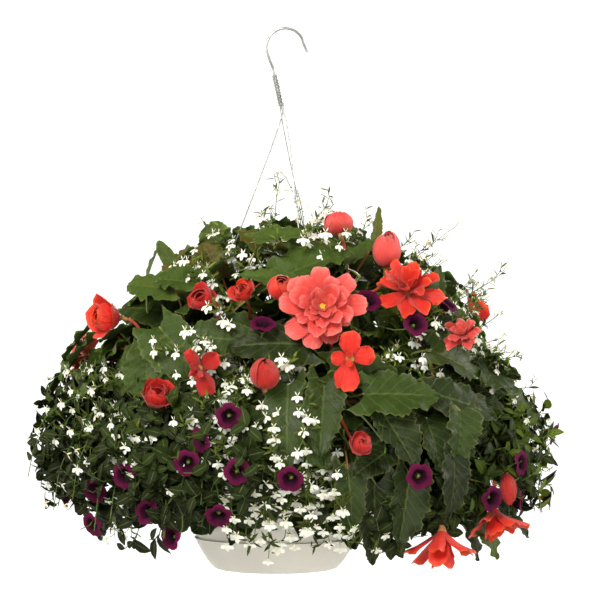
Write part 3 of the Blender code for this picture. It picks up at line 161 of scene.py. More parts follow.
# Large begonia leaves that the front shows: base, tip, width
FRONT_LEAVES = [
    ((92, -238, 204), (176, -226, 208), 54),
    ((54, -238, 218), (50, -276, 146), 42),
    ((14, -240, 214), (12, -282, 134), 46),
    ((108, -232, 190), (150, -258, 134), 48),
    ((158, -212, 178), (178, -240, 130), 44),
    ((190, -206, 150), (186, -222, 192), 32),
    ((180, -212, 150), (190, -226, 86), 30),
    ((178, -170, 254), (258, -122, 226), 52),
    ((168, -204, 202), (246, -172, 186), 48),
    ((246, -92, 206), (300, -78, 166), 42),
    ((104, -236, 112), (106, -222, 22), 44),
    ((140, -226, 120), (132, -238, 46), 46),
    ((76, -248, 128), (84, -256, 58), 34),
    ((-122, -154, 272), (-86, -200, 232), 52),
    ((-136, -150, 268), (-130, -196, 226), 46),
    ((-108, -110, 312), (-160, -96, 322), 44),
    ((-198, -34, 276), (-244, -30, 240), 40),
    ((-184, -84, 248), (-222, -108, 196), 46),
    ((-232, -24, 200), (-266, -26, 156), 36),
    ((-58, -74, 346), (-72, -62, 394), 36),
    ((-142, -60, 318), (-132, -58, 360), 13),
    ((-84, -128, 318), (-128, -112, 330), 38),
    ((-22, -98, 366), (28, -108, 380), 28),
    ((108, -60, 362), (116, -52, 404), 14),
    ((172, -120, 296), (182, -116, 338), 24),
    ((16, -156, 320), (-38, -160, 332), 30),
    ((-60, -228, 172), (-88, -256, 132), 40),
    ((-166, -150, 92), (-196, -140, 46), 28),
    ((206, -184, 236), (244, -160, 250), 26),
    ((28, -244, 166), (56, -268, 132), 34),
]
SEEDED_LEAVES = 26
SEEDED_LEAF_LENGTH = (58, 92)

# Outline of the whole bush: height, distance from its own axis, which stands a little right of the pot's
BUSH_CENTRE = Vector((24.0, 0.0, 0.0))
BUSH_OUTLINE = [
    (20, 222), (54, 262), (130, 286), (188, 276), (233, 258), (280, 226), (310, 202), (350, 160), (380, 112),
    (398, 60),
]

# Calibrachoa plants: root azimuth and distance, then the end of each shoot (azimuth, distance, height)
CALIBRACHOA = {
    "left": ((-160, 102), [(-162, 282, 108), (-174, 262, 92), (-150, 272, 76), (176, 262, 150)]),
    "left_front": ((-130, 102), [(-136, 262, 58), (-122, 264, 104), (-116, 256, 56), (-131, 262, 134)]),
    "front": ((-103, 102), [(-106, 268, 92), (-95, 278, 112), (-108, 262, 152), (-101, 258, 68)]),
    "right": ((-20, 102), [(-30, 290, 92), (-13, 304, 132), (-21, 300, 72), (-4, 304, 90)]),
    "right_top": ((-58, 56), [(-42, 208, 296), (-34, 226, 278), (-56, 196, 292)]),
    "back": ((68, 102), [(92, 262, 84), (58, 282, 112), (74, 262, 160), (42, 286, 78)]),
    "back_left": ((146, 102), [(158, 266, 84), (134, 262, 110), (146, 262, 160), (118, 256, 70)]),
}
FRONT_TRUMPETS = [
    (-88, -260, 134), (-77, -262, 160), (-32, -276, 125), (17, -282, 119), (-146, -222, 116),
    (-132, -224, 82), (-262, -20, 121), (-191, -168, 98), (-194, -150, 61), (-107, -228, 56),
    (-52, -256, 72), (111, -182, 306), (148, -190, 276), (194, -140, 284), (149, -252, 120),
    (229, -184, 92), (257, -146, 86), (262, -158, 128), (312, -8, 150), (308, -4, 78),
    (-45, -266, 182), (2, -216, 284),
]
SEEDED_TRUMPETS = 16
TRUMPET_RADIUS = 14.0
TRUMPET_DEPTH = 15.0

# Lobelia plants: root azimuth and distance, then the end of each stem
LOBELIA = {
    "front": ((-84, 104), [(-100, 258, 58), (-91, 262, 42), (-82, 262, 66), (-74, 256, 58), (-97, 272, 118),
                           (-86, 274, 150)]),
    "left": ((-145, 98), [(-140, 276, 92), (-152, 288, 150), (-126, 268, 130), (-132, 250, 52),
                          (-158, 262, 214)]),
    "top": ((-96, 14), [(-76, 22, 436), (-122, 112, 376), (-138, 152, 346), (-66, 128, 372),
                        (-106, 168, 322)]),
    "right": ((-60, 98), [(-8, 196, 378), (-62, 238, 236), (-50, 252, 214), (-6, 256, 332), (-36, 246, 286)]),
    "right_low": ((0, 104), [(-9, 306, 150), (-17, 302, 112), (6, 292, 182), (-25, 296, 168)]),
    "back": ((110, 98), [(112, 256, 86), (96, 246, 196), (128, 262, 140), (84, 178, 330), (150, 250, 200)]),
}
FLORET_SIZE = 17.0
FLORET_TUBE = 0.36

# Layers of each kind of packed bloom, and the turn of its first petal
BLOOM_LAYERS = {"double": 3, "cup": 2, "goblet": 2, "star": 2, "fan": 2, "bell": 2, "bud": 1}
BLOOM_FIRST = {"double": 10, "cup": 10, "goblet": 20, "star": 0, "fan": 20, "bell": 12, "bud": 30}
PETIOLE_RADIUS = 1.3

# Fine blades: teeth and veins along one, the veins' slant, the quilting's share of the width, thicknesses.
# The leaves on the left of the bush end blunter.
LEAF_TEETH = 13
LEAF_VEINS = 6.5
VEIN_SLANT = 0.32
LEAF_QUILT = 0.044
BLUNT_TAPER = 0.5
BLUNT_LEFT_OF = -20
BLADE_THICKNESS = 0.45
PETAL_SHEET = 0.5
SMALL_THICKNESS = 0.02

# Foliage: how deep in the bush nothing small grows, how far out of it nothing strays, and room kept free
SHADED_DEPTH = 85
STRAY_DEPTH = 25
FACE_CLEARANCE = 14
FLORET_CLEARANCE = 9
FLORET_ROOM = 12
EXTRA_LEAVES = 780
LEAF_SPACING = 25
# The turn from one leaf or floret to the next round a stem, in radians
SPIRAL_TURN = 2.4

# How a packed stem's tip narrows, and the radii of the scene's own stalks, from their start to their end
TIP_TAPER = 0.4
PETIOLE = (1.1, 1.5)
BLOOM_STALK_RADII = (1.7, 2.0)
CALYX = (1.7, 2.1)
TRUMPET_STALK = (0.9, 0.7)
FLORET_THREAD = (0.35, 0.4)
CALIBRACHOA_TWIG = (0.7, 0.45)
LOBELIA_TWIG = (0.5, 0.35)
SPIRE_STEM = (0.8, 0.4)
STAMEN = (0.5, 0.9)

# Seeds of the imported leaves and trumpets, as in the part's source
FRONT_LEAF_SEED = 100
BACK_LEAF_SEED = 500
PACKED_TRUMPET_SEED = 700
# Seeds of what the scene adds
CROWN_SEED = 3900
FILLING_SEED = 4000
TRUMPET_SEED = 5000
BARE_TRUMPET_SEED = 5300
SMALL_LEAF_SEED = 6000
SPIRE_SEED = 7000
SOIL_SEED = 31

# Further shoots beside each packed one: the same on most plants
USUAL_COMPANIONS = 2
COMPANIONS = {
    "calibrachoa_left": 3, "calibrachoa_left_front": 3, "calibrachoa_front": 1, "calibrachoa_right": 3,
    "lobelia_front": 3, "lobelia_left": 1, "lobelia_right": 3, "lobelia_right_low": 0,
}
# Further ends of shoots, where the bush is fullest: azimuth, distance, height
MORE_ENDS = {
    "lobelia_front": [(-104, 262, 190), (-97, 266, 212), (-110, 256, 168), (-93, 270, 172), (-113, 246, 232),
                      (-106, 232, 266), (-80, 262, 60), (-112, 270, 140), (-104, 272, 150)],
    "lobelia_top": [(-118, 176, 330), (-108, 150, 352), (-128, 185, 315), (-70, 140, 362), (-94, 128, 374),
                    (-56, 112, 384), (-112, 110, 384)],
    "lobelia_left": [(-148, 262, 190), (-138, 268, 170), (-150, 274, 140), (-140, 276, 118), (-146, 272, 88),
                     (-131, 274, 140), (-132, 270, 96), (-122, 272, 120), (-122, 268, 84)],
    "lobelia_right": [(-16, 262, 290), (-22, 268, 262), (-12, 262, 310), (-28, 258, 235), (-15, 268, 270)],
    "calibrachoa_right": [(-36, 268, 66), (-44, 262, 60), (-52, 260, 62), (-26, 290, 110), (-58, 262, 58),
                          (-22, 292, 92)],
    "calibrachoa_left_front": [(-125, 258, 70)],
}
# Leaves that stand out at the crown and at both shoulders: base, tip and width
CROWN_LEAVES = [
    ((246, 0, 208), (300, 4, 164), 36), ((192, -222, 186), (197, -234, 134), 44),
    ((186, -226, 138), (190, -238, 76), 36),
    ((-196, -30, 262), (-244, -44, 228), 50), ((-212, -20, 214), (-258, -34, 168), 52),
    ((-176, -70, 246), (-220, -96, 204), 50), ((-222, 10, 236), (-262, 4, 196), 46),
    ((-54, 34, 336), (-80, 22, 388), 40), ((26, 12, 376), (-18, 0, 396), 36),
    ((-106, 34, 326), (-134, 22, 368), 16), ((-18, 30, 352), (-48, 16, 384), 40),
    ((-90, 20, 306), (-126, 4, 334), 40), ((190, 20, 306), (250, 6, 268), 46),
    ((176, 10, 330), (240, -14, 306), 42), ((150, 30, 344), (200, 14, 334), 42),
    ((232, -60, 84), (286, -66, 50), 40), ((210, -120, 76), (246, -140, 30), 42),
    ((196, -70, 70), (232, -80, 22), 40),
]
# Bare stems that stand up out of the middle: the places that their curve leans to, and its tip
SPIRES = [
    ((30, -22, 290), (44, -26, 380), (11, -24, 437)),
    ((36, -30, 280), (40, -34, 370), (24, -36, 422)),
    ((50, -30, 270), (50, -34, 350), (40, -34, 396)),
]
# Distance along a stem between two of its florets
FLORET_SPACING = {
    "lobelia_front": 11, "lobelia_left": 20, "lobelia_top": 20, "lobelia_right": 18, "lobelia_right_low": 26,
    "lobelia_back": 18,
}


def polar(azimuth, distance, height):
    """A point from its azimuth in degrees, distance from the axis and height."""
    angle = math.radians(azimuth)
    return Vector((distance * math.cos(angle), distance * math.sin(angle), height))


def direction(azimuth, elevation):
    """Unit vector from an azimuth and an elevation in degrees."""
    return polar(azimuth, math.cos(math.radians(elevation)), math.sin(math.radians(elevation)))


def bezier(p0, p1, p2, p3, count):
    """Points along a cubic curve, both ends included."""
    points = []
    for i in range(count + 1):
        t = i / count
        s = 1 - t
        points.append(p0 * s ** 3 + p1 * (3 * s * s * t) + p2 * (3 * s * t * t) + p3 * t ** 3)
    return points


def axes_at(x, y, z, origin):
    """The matrix of a place from its three axes and its origin."""
    matrix = Matrix((x, y, z)).transposed().to_4x4()
    matrix.translation = origin
    return matrix


def blade_place(along, normal_hint, origin):
    """A blade's place: x runs along it and z is its upper side."""
    x = along.normalized()
    y = normal_hint.cross(x).normalized()
    return axes_at(x, y, x.cross(y), origin)


def flower_place(facing, origin):
    """A flower's place: z is the way it faces, and y is as near to upright as that lets it be."""
    sideways = UP.cross(facing).normalized()
    upward = facing.cross(sideways)
    return axes_at(upward.cross(facing), upward, facing, origin)


def saucer_radius(height):
    """Outer radius of the saucer at a height."""
    rise = (height / SAUCER_HEIGHT) ** SAUCER_CURVE
    return SAUCER_BASE_RADIUS + (SAUCER_LIP_RADIUS - SAUCER_BASE_RADIUS) * rise


def pot_radius(height):
    """Outer radius of the pot: curved inside the saucer, then straight to the rim."""
    knee = saucer_radius(SAUCER_HEIGHT) - SAUCER_WALL - POT_CLEARANCE
    if height < SAUCER_HEIGHT:
        return saucer_radius(height) - SAUCER_WALL - POT_CLEARANCE
    return knee + (POT_RIM_RADIUS - knee) * (height - SAUCER_HEIGHT) / (POT_HEIGHT - SAUCER_HEIGHT)


POT_FOOT = SAUCER_WALL + CONTACT_GAP
POT_STEPS = [0.3 * SAUCER_HEIGHT, 0.65 * SAUCER_HEIGHT, SAUCER_HEIGHT]
POT_FOOT_RADIUS = SAUCER_BASE_RADIUS - 4.0
POT_FLOOR = POT_FOOT + POT_WALL


def soil_height(distance):
    """Height of the soil's mounded top at a distance from the axis."""
    return SOIL_EDGE + SOIL_MOUND * (1 - (distance / (pot_radius(SOIL_EDGE) - POT_WALL)) ** 2)


def hook_path():
    """The hook's crown as an arc, then its curve into the long shank."""
    tip = HOOK_CENTRE + Vector((HOOK_BEND + 3.5, 0, -5.5))
    crown = []
    for step in range(CROWN_STEPS + 1):
        angle = math.radians(8 + 192 * step / CROWN_STEPS)
        crown.append(HOOK_CENTRE + Vector((math.cos(angle), 0, math.sin(angle))) * HOOK_BEND)
    leaving = crown[-1] + Vector((2.2, 0, -9))
    arriving = SHANK_TOP + Vector((-1.4, 0, 6.5))
    return [tip] + crown + bezier(crown[-1], leaving, arriving, SHANK_TOP, 3)[1:] + [SHANK_FOOT]


def hanger_path(start_angle, azimuth, kink):
    """A hanger wire: wound closely round the shank, then straight to the rim and out through its hole."""
    axis = SHANK_FOOT - SHANK_TOP
    side = Vector((0, 1, 0))
    across = side.cross(axis.normalized())
    points = []
    steps = WRAP_TURNS * WRAP_POINTS
    for step in range(steps + 1):
        angle = math.radians(start_angle) + 2 * math.pi * (step - steps) / WRAP_POINTS
        spot = SHANK_TOP + axis * (0.1 + 0.86 * step / steps)
        points.append(spot + (across * math.cos(angle) + side * math.sin(angle)) * WRAP_RADIUS)
    wall = pot_radius(HANGER_HOLE_HEIGHT)
    tail = [polar(azimuth, wall + out, HANGER_HOLE_HEIGHT + up) for out, up in HANGER_TAIL]
    return points + [Vector(kink)] + tail


def arching_route(start, root_azimuth, root_distance, end_azimuth, end_distance, end_height, lean=0.0):
    """A stem from its start by the soil, up and over, clear of the rim, to where it ends."""
    overhang = min(max((230 - end_height) * 0.75, -40), 135)
    pull = min(max((end_height - 150) * 0.25, 0), 50)
    rise = max(238, 0.5 * (end_height + 175))
    first = polar(root_azimuth + lean, root_distance + 0.1 * (end_distance - root_distance), rise)
    second = polar(end_azimuth + lean, end_distance - pull, end_height + overhang)
    return bezier(start, first, second, polar(end_azimuth, end_distance, end_height), ROUTE_STEPS)


def rooted(route, root_azimuth, root_distance):
    """The route with its straight foot in the soil put before it."""
    foot = polar(root_azimuth, root_distance, soil_height(root_distance) - SOIL_HOLE_DEPTH + CONTACT_GAP)
    return [foot] + route


def middle_of(root):
    """The middle of the triangle that a side piece grows from."""
    return sum(root, Vector()) / 3


def link_route(root, outward, target, arrival, count):
    """Points of a stalk between a wall and its target, from the target back, both ends left out."""
    start = middle_of(root)
    span = (target - start).length
    toward = (target - start).normalized()
    leave = start + (outward * 0.6 + toward * 0.5) * (0.35 * span)
    return bezier(start, leave, target - arrival * (0.32 * span), target, count)[-2:0:-1]


def bush_distance(height):
    """Distance of the bush's outline from its own axis at a height."""
    for (low, near), (high, far) in zip(BUSH_OUTLINE, BUSH_OUTLINE[1:]):
        if height <= high:
            share = max(0.0, (height - low) / (high - low))
            return near + (far - near) * share
    return BUSH_OUTLINE[-1][1]


def outward_at(spot):
    """The way the bush's surface faces at a place on it."""
    flat = Vector((spot.x - BUSH_CENTRE.x, spot.y, 0)).normalized()
    lift = min(max((spot.z - 130) / 200, -0.25), 1.6)
    return (flat + UP * lift).normalized()


def shaken(vector, draw, amount):
    """A unit vector near another."""
    return (vector + Vector([draw.uniform(-amount, amount) for axis in range(3)])).normalized()


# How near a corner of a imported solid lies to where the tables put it
MATCH = 0.05
# The first ring of a stem that carries anything
FIRST_WALL = 2


def tree_of(spots):
    """A search tree of places, which finds the nearest one."""
    tree = KDTree(len(spots))
    for number, spot in enumerate(spots):
        tree.insert(spot, number)
    tree.balance()
    return tree


class Packed:
    """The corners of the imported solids, by node."""

    def __init__(self):
        self.trees = {}
        for name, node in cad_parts.items():
            self.trees[name] = tree_of([vertex.co / MM for vertex in node.data.vertices])

    def has_corner(self, node, point):
        """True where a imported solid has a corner."""
        return self.trees[node].find(point)[2] < MATCH

    def has_ring(self, node, centre, radius):
        """True where a packed stem or stalk has its middle."""
        return abs(self.trees[node].find(centre)[2] - radius) < MATCH


class Stem:
    """A stem or shoot with three walls, from which leaves, stalks and flowers grow."""

    def __init__(self, node, path, start_radius, end_radius):
        self.node = node
        self.path = path
        self.start_radius = start_radius
        self.end_radius = end_radius
        self.taken = set()
        self.rings = []
        last = len(path) - 1
        tangents = [(path[min(i + 1, last)] - path[max(i - 1, 0)]).normalized() for i in range(last + 1)]
        across = tangents[0].orthogonal().normalized()
        for i, (centre, tangent) in enumerate(zip(path, tangents)):
            across = (across - tangent * across.dot(tangent)).normalized()
            side = tangent.cross(across)
            radius = start_radius + (end_radius - start_radius) * i / last
            ring = []
            for k in range(3):
                angle = 2 * math.pi * k / 3
                ring.append(centre + across * (radius * math.cos(angle)) + side * (radius * math.sin(angle)))
            self.rings.append(ring)

    def wall(self, ring, side):
        """The triangle of the wall that a side piece grows from, and the way out of it."""
        a, b = self.rings[ring][side], self.rings[ring][(side + 1) % 3]
        e, c = self.rings[ring + 1][side], self.rings[ring + 1][(side + 1) % 3]
        low, high = (a + b) / 2, (c + e) / 2
        reach = min(1.3 * (a - b).length / (high - low).length, 0.45)
        corner = low + (high - low) * reach
        return [a, b, corner], (b - a).cross(corner - a).normalized()

    def free_walls(self, first_ring):
        """The walls, from a ring on, that nothing grows from yet."""
        return [(ring, side) for ring in range(first_ring, len(self.path) - 1) for side in range(3)
                if (ring, side) not in self.taken]


class Layout:
    """Where every stem, bloom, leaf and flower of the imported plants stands."""

    def __init__(self):
        self.packed = Packed()
        self.stems = []
        self.feet = {}
        self.blooms = {}
        self.stalks = []
        self.leaves = []
        self.trumpets = []
        self.bare_trumpets = []
        self.find_blooms()
        self.find_begonia_stems()
        self.find_shoots(CALIBRACHOA, "calibrachoa_", 2.6, 1.4)
        self.find_shoots(LOBELIA, "lobelia_", 2.2, 1.0)
        self.find_stalks()
        self.find_large_leaves()
        self.find_trumpets()
        self.small_leaves = self.find_small_leaves("calibrachoa", 4, 9000)
        self.small_leaves += self.find_small_leaves("lobelia", 8, 16000)

    def walls_near(self, prefix, target):
        """Free walls of the stems of one kind of plant, the handiest for a target first."""
        options = []
        for stem in self.stems:
            if not stem.node.startswith(prefix):
                continue
            for ring, side in stem.free_walls(FIRST_WALL):
                root, outward = stem.wall(ring, side)
                span = target - root[0]
                options.append((span.length * (1.5 - 0.5 * outward.dot(span.normalized())), stem, ring, side))
        options.sort(key=lambda option: option[0])
        return options

    def find_blooms(self):
        """Every bloom, moved outward as far as its solid was."""
        for name, (kind, colour, size, spot, (azimuth, elevation), turn) in BLOOMS.items():
            facing = direction(azimuth, elevation)
            outward = Vector((spot[0], spot[1], 0)).normalized()
            for step in range(12):
                origin = Vector(spot) + outward * (2.5 * step)
                if self.packed.has_corner(name, origin + facing * (LAYER_STEP * BLOOM_LAYERS[kind])):
                    self.blooms[name] = (kind, colour, size, origin, facing, turn + 7 * step)
                    break

    def find_begonia_stems(self):
        """Every begonia stem, leaning and lowered as its solid is."""
        for name, (azimuth, root_distance, end_distance, end_height) in BEGONIA_STEMS.items():
            node = "begonia_" + name
            start = polar(azimuth, root_distance, soil_height(root_distance) + 3)
            for lean in (0, 3, -3, 6, -6, 9, -9):
                for lower in (0, 12, 24):
                    route = arching_route(start, azimuth, root_distance, azimuth, end_distance - lower / 2,
                                          end_height - lower, lean)
                    path = rooted(route, azimuth, root_distance)
                    stem = Stem(node, path, BEGONIA_RADIUS, 0.7 * BEGONIA_RADIUS)
                    if not any(kept.node == node for kept in self.stems):
                        self.keep_stem(stem, 1)

    def keep_stem(self, stem, first_ring):
        """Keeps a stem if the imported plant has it, and says whether it does."""
        last = len(stem.path) - 1
        for ring in (last, 4, first_ring):
            radius = stem.start_radius + (stem.end_radius - stem.start_radius) * ring / last
            if not self.packed.has_ring(stem.node, stem.path[ring], radius):
                return False
        self.stems.append(stem)
        return True

    def find_shoots(self, plants, prefix, foot_radius, radius):
        """The foot of every trailing plant, and the shoots that leave it."""
        for name, ((azimuth, distance), ends) in plants.items():
            node = prefix + name
            top = soil_height(distance)
            heights = [top - SOIL_HOLE_DEPTH + CONTACT_GAP] + [top + 1 + FOOT_STEP * k for k in range(3)]
            path = [polar(azimuth, distance, height) for height in heights]
            foot = Stem(node, path, foot_radius, foot_radius)
            self.feet[node] = foot
            for end in ends:
                self.find_shoot(node, foot, azimuth, distance, end, radius)

    def find_shoot(self, node, foot, azimuth, distance, end, radius):
        """One shoot, on the free wall and with the lean that its solid has."""
        end_azimuth, end_distance, end_height = end
        for lean in (0, 4, -4, 8, -8, 12, -12):
            for shift in (0, 5, -5, 10, -10, 16):
                for ring, side in foot.free_walls(1):
                    root, outward = foot.wall(ring, side)
                    start = middle_of(root) + outward * 1.6
                    route = arching_route(start, azimuth, distance, end_azimuth + shift / 2,
                                          end_distance - abs(shift), end_height + shift, lean)
                    if self.keep_stem(Stem(node, route, radius, 0.75 * radius), 0):
                        foot.taken.add((ring, side))
                        return

    def find_stalks(self):
        """The stalk of every bloom, from the bloom back to a begonia stem."""
        for name, (kind, colour, size, origin, facing, turn) in self.blooms.items():
            target = origin - facing * (BLOOM_STUB + CONTACT_GAP)
            for cost, stem, ring, side in self.walls_near("begonia", target)[:60]:
                root, outward = stem.wall(ring, side)
                inner = link_route(root, outward, target - facing * 3, facing, 3)
                if self.packed.has_ring(stem.node, inner[-1], BLOOM_STALK):
                    stem.taken.add((ring, side))
                    self.stalks.append((stem.node, [target, target - facing * 3] + inner + [middle_of(root)]))
                    break

    def find_large_leaves(self):
        """The leaves of the front, and those that the seeds spread over the sides and the back."""
        for number, (base, tip, width) in enumerate(FRONT_LEAVES):
            self.find_leaf(Vector(base), Vector(tip), width, FRONT_LEAF_SEED + number)
        for number in range(SEEDED_LEAVES):
            draw = random.Random(BACK_LEAF_SEED + number)
            azimuth = -20 + 220 * ((number * GOLDEN_SHARE) % 1)
            height = 55 + 320 * ((number + 0.5) / SEEDED_LEAVES)
            reach = bush_distance(height)
            length = draw.uniform(*SEEDED_LEAF_LENGTH)
            tip = BUSH_CENTRE + polar(azimuth, reach * 0.97, height)
            swing = direction(azimuth + draw.uniform(-70, 70), -35 + 0.22 * (height - 60))
            self.find_leaf(tip - swing * length, tip, 0.64 * length, BACK_LEAF_SEED + number)

    def find_leaf(self, base, tip, width, seed):
        """One large leaf, moved in and aside as its solid was, with its petiole's route."""
        draw = random.Random(seed)
        for attempt in range(18):
            wander = Vector([draw.uniform(-1, 1) * 2.2 * attempt for axis in range(3)])
            inward = outward_at(base) * (-1.6 * attempt)
            new_base = base + inward + wander * 0.5
            new_tip = tip + inward + wander
            normal = outward_at((base + tip) / 2) + UP * 0.25
            leaf = LargeLeaf(new_base, new_tip, width, normal, seed)
            end = leaf.end()
            for cost, stem, ring, side in self.walls_near("begonia", new_base)[:18:3]:
                if not self.packed.has_corner(stem.node, end):
                    continue
                root, outward = stem.wall(ring, side)
                route = link_route(root, outward, new_base, leaf.arrival(), 2)
                if self.packed.has_ring(stem.node, route[-1], PETIOLE_RADIUS):
                    stem.taken.add((ring, side))
                    leaf.route = [new_base] + route + [middle_of(root)]
                    self.leaves.append((stem.node, leaf))
                    return

    def find_trumpets(self):
        """The calibrachoa flowers, and the places of those that no solid has."""
        spots = [Vector(spot) for spot in FRONT_TRUMPETS]
        for number in range(SEEDED_TRUMPETS):
            draw = random.Random(PACKED_TRUMPET_SEED + number)
            azimuth = 10 + 180 * ((number * GOLDEN_SHARE) % 1)
            height = draw.uniform(60, 190)
            spots.append(BUSH_CENTRE + polar(azimuth, bush_distance(height) * 0.98, height))
        for number, spot in enumerate(spots):
            if not self.find_trumpet(spot, PACKED_TRUMPET_SEED + number):
                self.bare_trumpets.append(spot)

    def find_trumpet(self, spot, seed):
        """True if a flower's solid stands near a place; it is then kept with its stalk's route."""
        draw = random.Random(seed)
        for attempt in range(12):
            centre = spot + Vector([draw.uniform(-1, 1) * 2.0 * attempt for axis in range(3)])
            facing = shaken(outward_at(spot), draw, 0.4)
            neck = centre - facing * TRUMPET_DEPTH
            for cost, stem, ring, side in self.walls_near("calibrachoa", neck)[:16:3]:
                if not self.packed.has_corner(stem.node, centre - facing * (0.3 * TRUMPET_DEPTH)):
                    continue
                root, outward = stem.wall(ring, side)
                route = link_route(root, outward, neck, facing, 2)
                if self.packed.has_ring(stem.node, route[-1], 1.0):
                    stem.taken.add((ring, side))
                    self.trumpets.append((stem.node, centre, facing, [neck] + route + [middle_of(root)]))
                    return True
        return False

    def find_small_leaves(self, plant, every, seed):
        """The small leaves on the shoots' free walls, by the same seeded rule as the solids."""
        found = []
        for number, stem in enumerate(self.stems):
            if not stem.node.startswith(plant):
                continue
            for turn, (ring, side) in enumerate(stem.free_walls(FIRST_WALL)):
                if (turn + number) % every:
                    continue
                root, outward = stem.wall(ring, side)
                forward = (stem.path[ring + 1] - stem.path[ring]).normalized()
                for attempt in range(5):
                    draw = random.Random(seed + 1000 * number + 10 * turn + attempt)
                    place, length = small_leaf_place(plant, root, outward, forward, draw)
                    if self.packed.has_corner(stem.node, place @ Vector((length, 0, -0.12 * length))):
                        stem.taken.add((ring, side))
                        found.append((stem.node, place, length))
                        break
        return found


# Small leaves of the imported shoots: how far they point out, along and up, their upper side's lift, length
SMALL_LEAF_RULES = {
    "calibrachoa": (0.8, 0.6, 0.25, 0.4, (20, 27)),
    "lobelia": (0.6, 0.8, 0.0, 0.0, (14, 19)),
}


def small_leaf_place(plant, root, outward, forward, draw):
    """A small leaf's place on its shoot, and its length."""
    out, onward, up, lift, lengths = SMALL_LEAF_RULES[plant]
    along = shaken(outward * out + forward * onward + UP * up, draw, 0.3)
    length = draw.uniform(*lengths)
    return blade_place(along, shaken(forward + UP * lift, draw, 0.2), middle_of(root)), length


class LargeLeaf:
    """A begonia leaf bent from a lopsided heart-shaped outline.

    Along the blade, u runs from its base (0) to its tip (1); across it, v runs from edge (-1) to edge (1).
    """

    def __init__(self, base, tip, width, normal, seed):
        draw = random.Random(seed)
        self.place = blade_place(tip - base, normal, base)
        self.length = (tip - base).length
        self.width = width
        self.skew = draw.uniform(-0.16, 0.16)
        self.arch = math.radians(draw.uniform(8, 34))
        self.fold = math.radians(draw.uniform(4, 13))
        self.phase = draw.uniform(0, 6)
        self.shade = draw.random()
        self.route = []
        self.blunt = base.x < BLUNT_LEFT_OF

    def arrival(self):
        """The way in which the leaf's own stalk reaches it."""
        turn = self.place.to_3x3()
        return (turn @ Vector((0.8, 0, 0)) + turn @ Vector((0, 0, 0.4))).normalized()

    def end(self):
        """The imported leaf's tip."""
        bend = self.length / self.arch
        return self.place @ Vector((bend * math.sin(self.arch), 0, -bend * (1 - math.cos(self.arch))))

    def points(self, blade):
        """Corners of the fine blade, with its toothed edge, waves and quilting between the veins."""
        u, v = blade.u, blade.v
        taper, tooth, lobe = (BLUNT_TAPER, 0.05, 0.03) if self.blunt else (LEAF_TAPER, 0.1, 0.08)
        outline = (u + LEAF_ROOT) ** LEAF_SWELL * np.maximum(1 - u, 0.004) ** taper / LEAF_FULL
        rim = np.abs(v) ** 5
        teeth = tooth * (1 - 2 * np.mod(u * LEAF_TEETH + 0.3 * self.phase, 1.0))
        teeth += lobe * np.cos(2 * np.pi * u * 3.3 + self.phase + np.sign(v))
        half = 0.5 * self.width * outline * (1 + self.skew * v) * (1 + rim * teeth)
        along = self.length * (u - LEAF_HEART * v * v * (1 - u) ** 3 + 0.012 * rim * teeth * 6)
        turn = self.arch * along / self.length
        shift = np.where(v > 0, 1.7, 0.0)
        lift = np.abs(v) * half * math.sin(self.fold)
        lift = lift + LEAF_WAVE * half * v * v * np.sin(2 * np.pi * LEAF_WAVES * u + self.phase + shift)
        lift = lift + 0.05 * self.width * rim * np.sin(2 * np.pi * 4.5 * u + 2 * self.phase + shift)
        between = np.abs(np.sin(np.pi * LEAF_VEINS * (u - VEIN_SLANT * np.abs(v))))
        lift = lift + LEAF_QUILT * self.width * (between - 0.5) * (1 - rim) * np.minimum(4 * np.abs(v), 1)
        lift = lift - 0.03 * self.width * np.exp(-(v / 0.12) ** 2) - BLADE_THICKNESS * blade.under
        bend = self.length / self.arch
        x = bend * np.sin(turn) + np.sin(turn) * lift
        y = v * half * math.cos(self.fold)
        z = -bend * (1 - np.cos(turn)) + np.cos(turn) * lift
        return placed(np.stack([x, y, z], axis=1), self.place)


def placed(points, matrix):
    """Corners in a place's own axes, as corners of the row frame."""
    m = np.array(matrix)
    return points @ m[:3, :3].T + m[:3, 3]


class Shape:
    """A shape that is copied many times: its corners, its faces and its pattern coordinates."""

    def __init__(self, points, faces, uvs, below=None):
        self.points = np.array(points, float)
        self.loops = np.array([i for face in faces for i in face], int)
        self.sizes = np.array([len(face) for face in faces], int)
        self.uvs = np.array(uvs, float)
        self.below = np.zeros(len(faces), int) if below is None else below


def clear_selection():
    """Leaves edit mode and deselects everything."""
    if bpy.context.object and bpy.context.object.mode != "OBJECT":
        bpy.ops.object.mode_set(mode="OBJECT")
    bpy.ops.object.select_all(action="DESELECT")


class Blade(Shape):
    """A thin closed blade from a grid, whose top and underside meet round its edge.

    u runs along it from 0 to 1 and v across it from -1 to 1. under is 1 for the underside's own corners,
    and below is 1 for its faces.
    """

    def __init__(self, rows, columns):
        clear_selection()
        bpy.ops.mesh.primitive_grid_add(x_subdivisions=rows, y_subdivisions=columns, size=2)
        grid = bpy.context.object
        flat = np.array([tuple(v.co) for v in grid.data.vertices])
        top = [tuple(p.vertices) for p in grid.data.polygons]
        bpy.data.objects.remove(grid)
        inner = [i for i, spot in enumerate(flat) if max(abs(spot[0]), abs(spot[1])) < 0.999]
        lower = {i: len(flat) + k for k, i in enumerate(inner)}
        bottom = [tuple(lower.get(i, i) for i in (face[0], face[3], face[2], face[1])) for face in top]
        self.under = np.repeat([0.0, 1.0], [len(flat), len(inner)])
        flat = np.concatenate([flat, flat[inner]])
        self.u = 0.5 + 0.5 * flat[:, 0]
        self.v = flat[:, 1]
        uvs = np.stack([self.u, 0.5 + 0.5 * self.v], axis=1)
        super().__init__(flat, top + bottom, uvs, np.repeat([0, 1], len(top)))


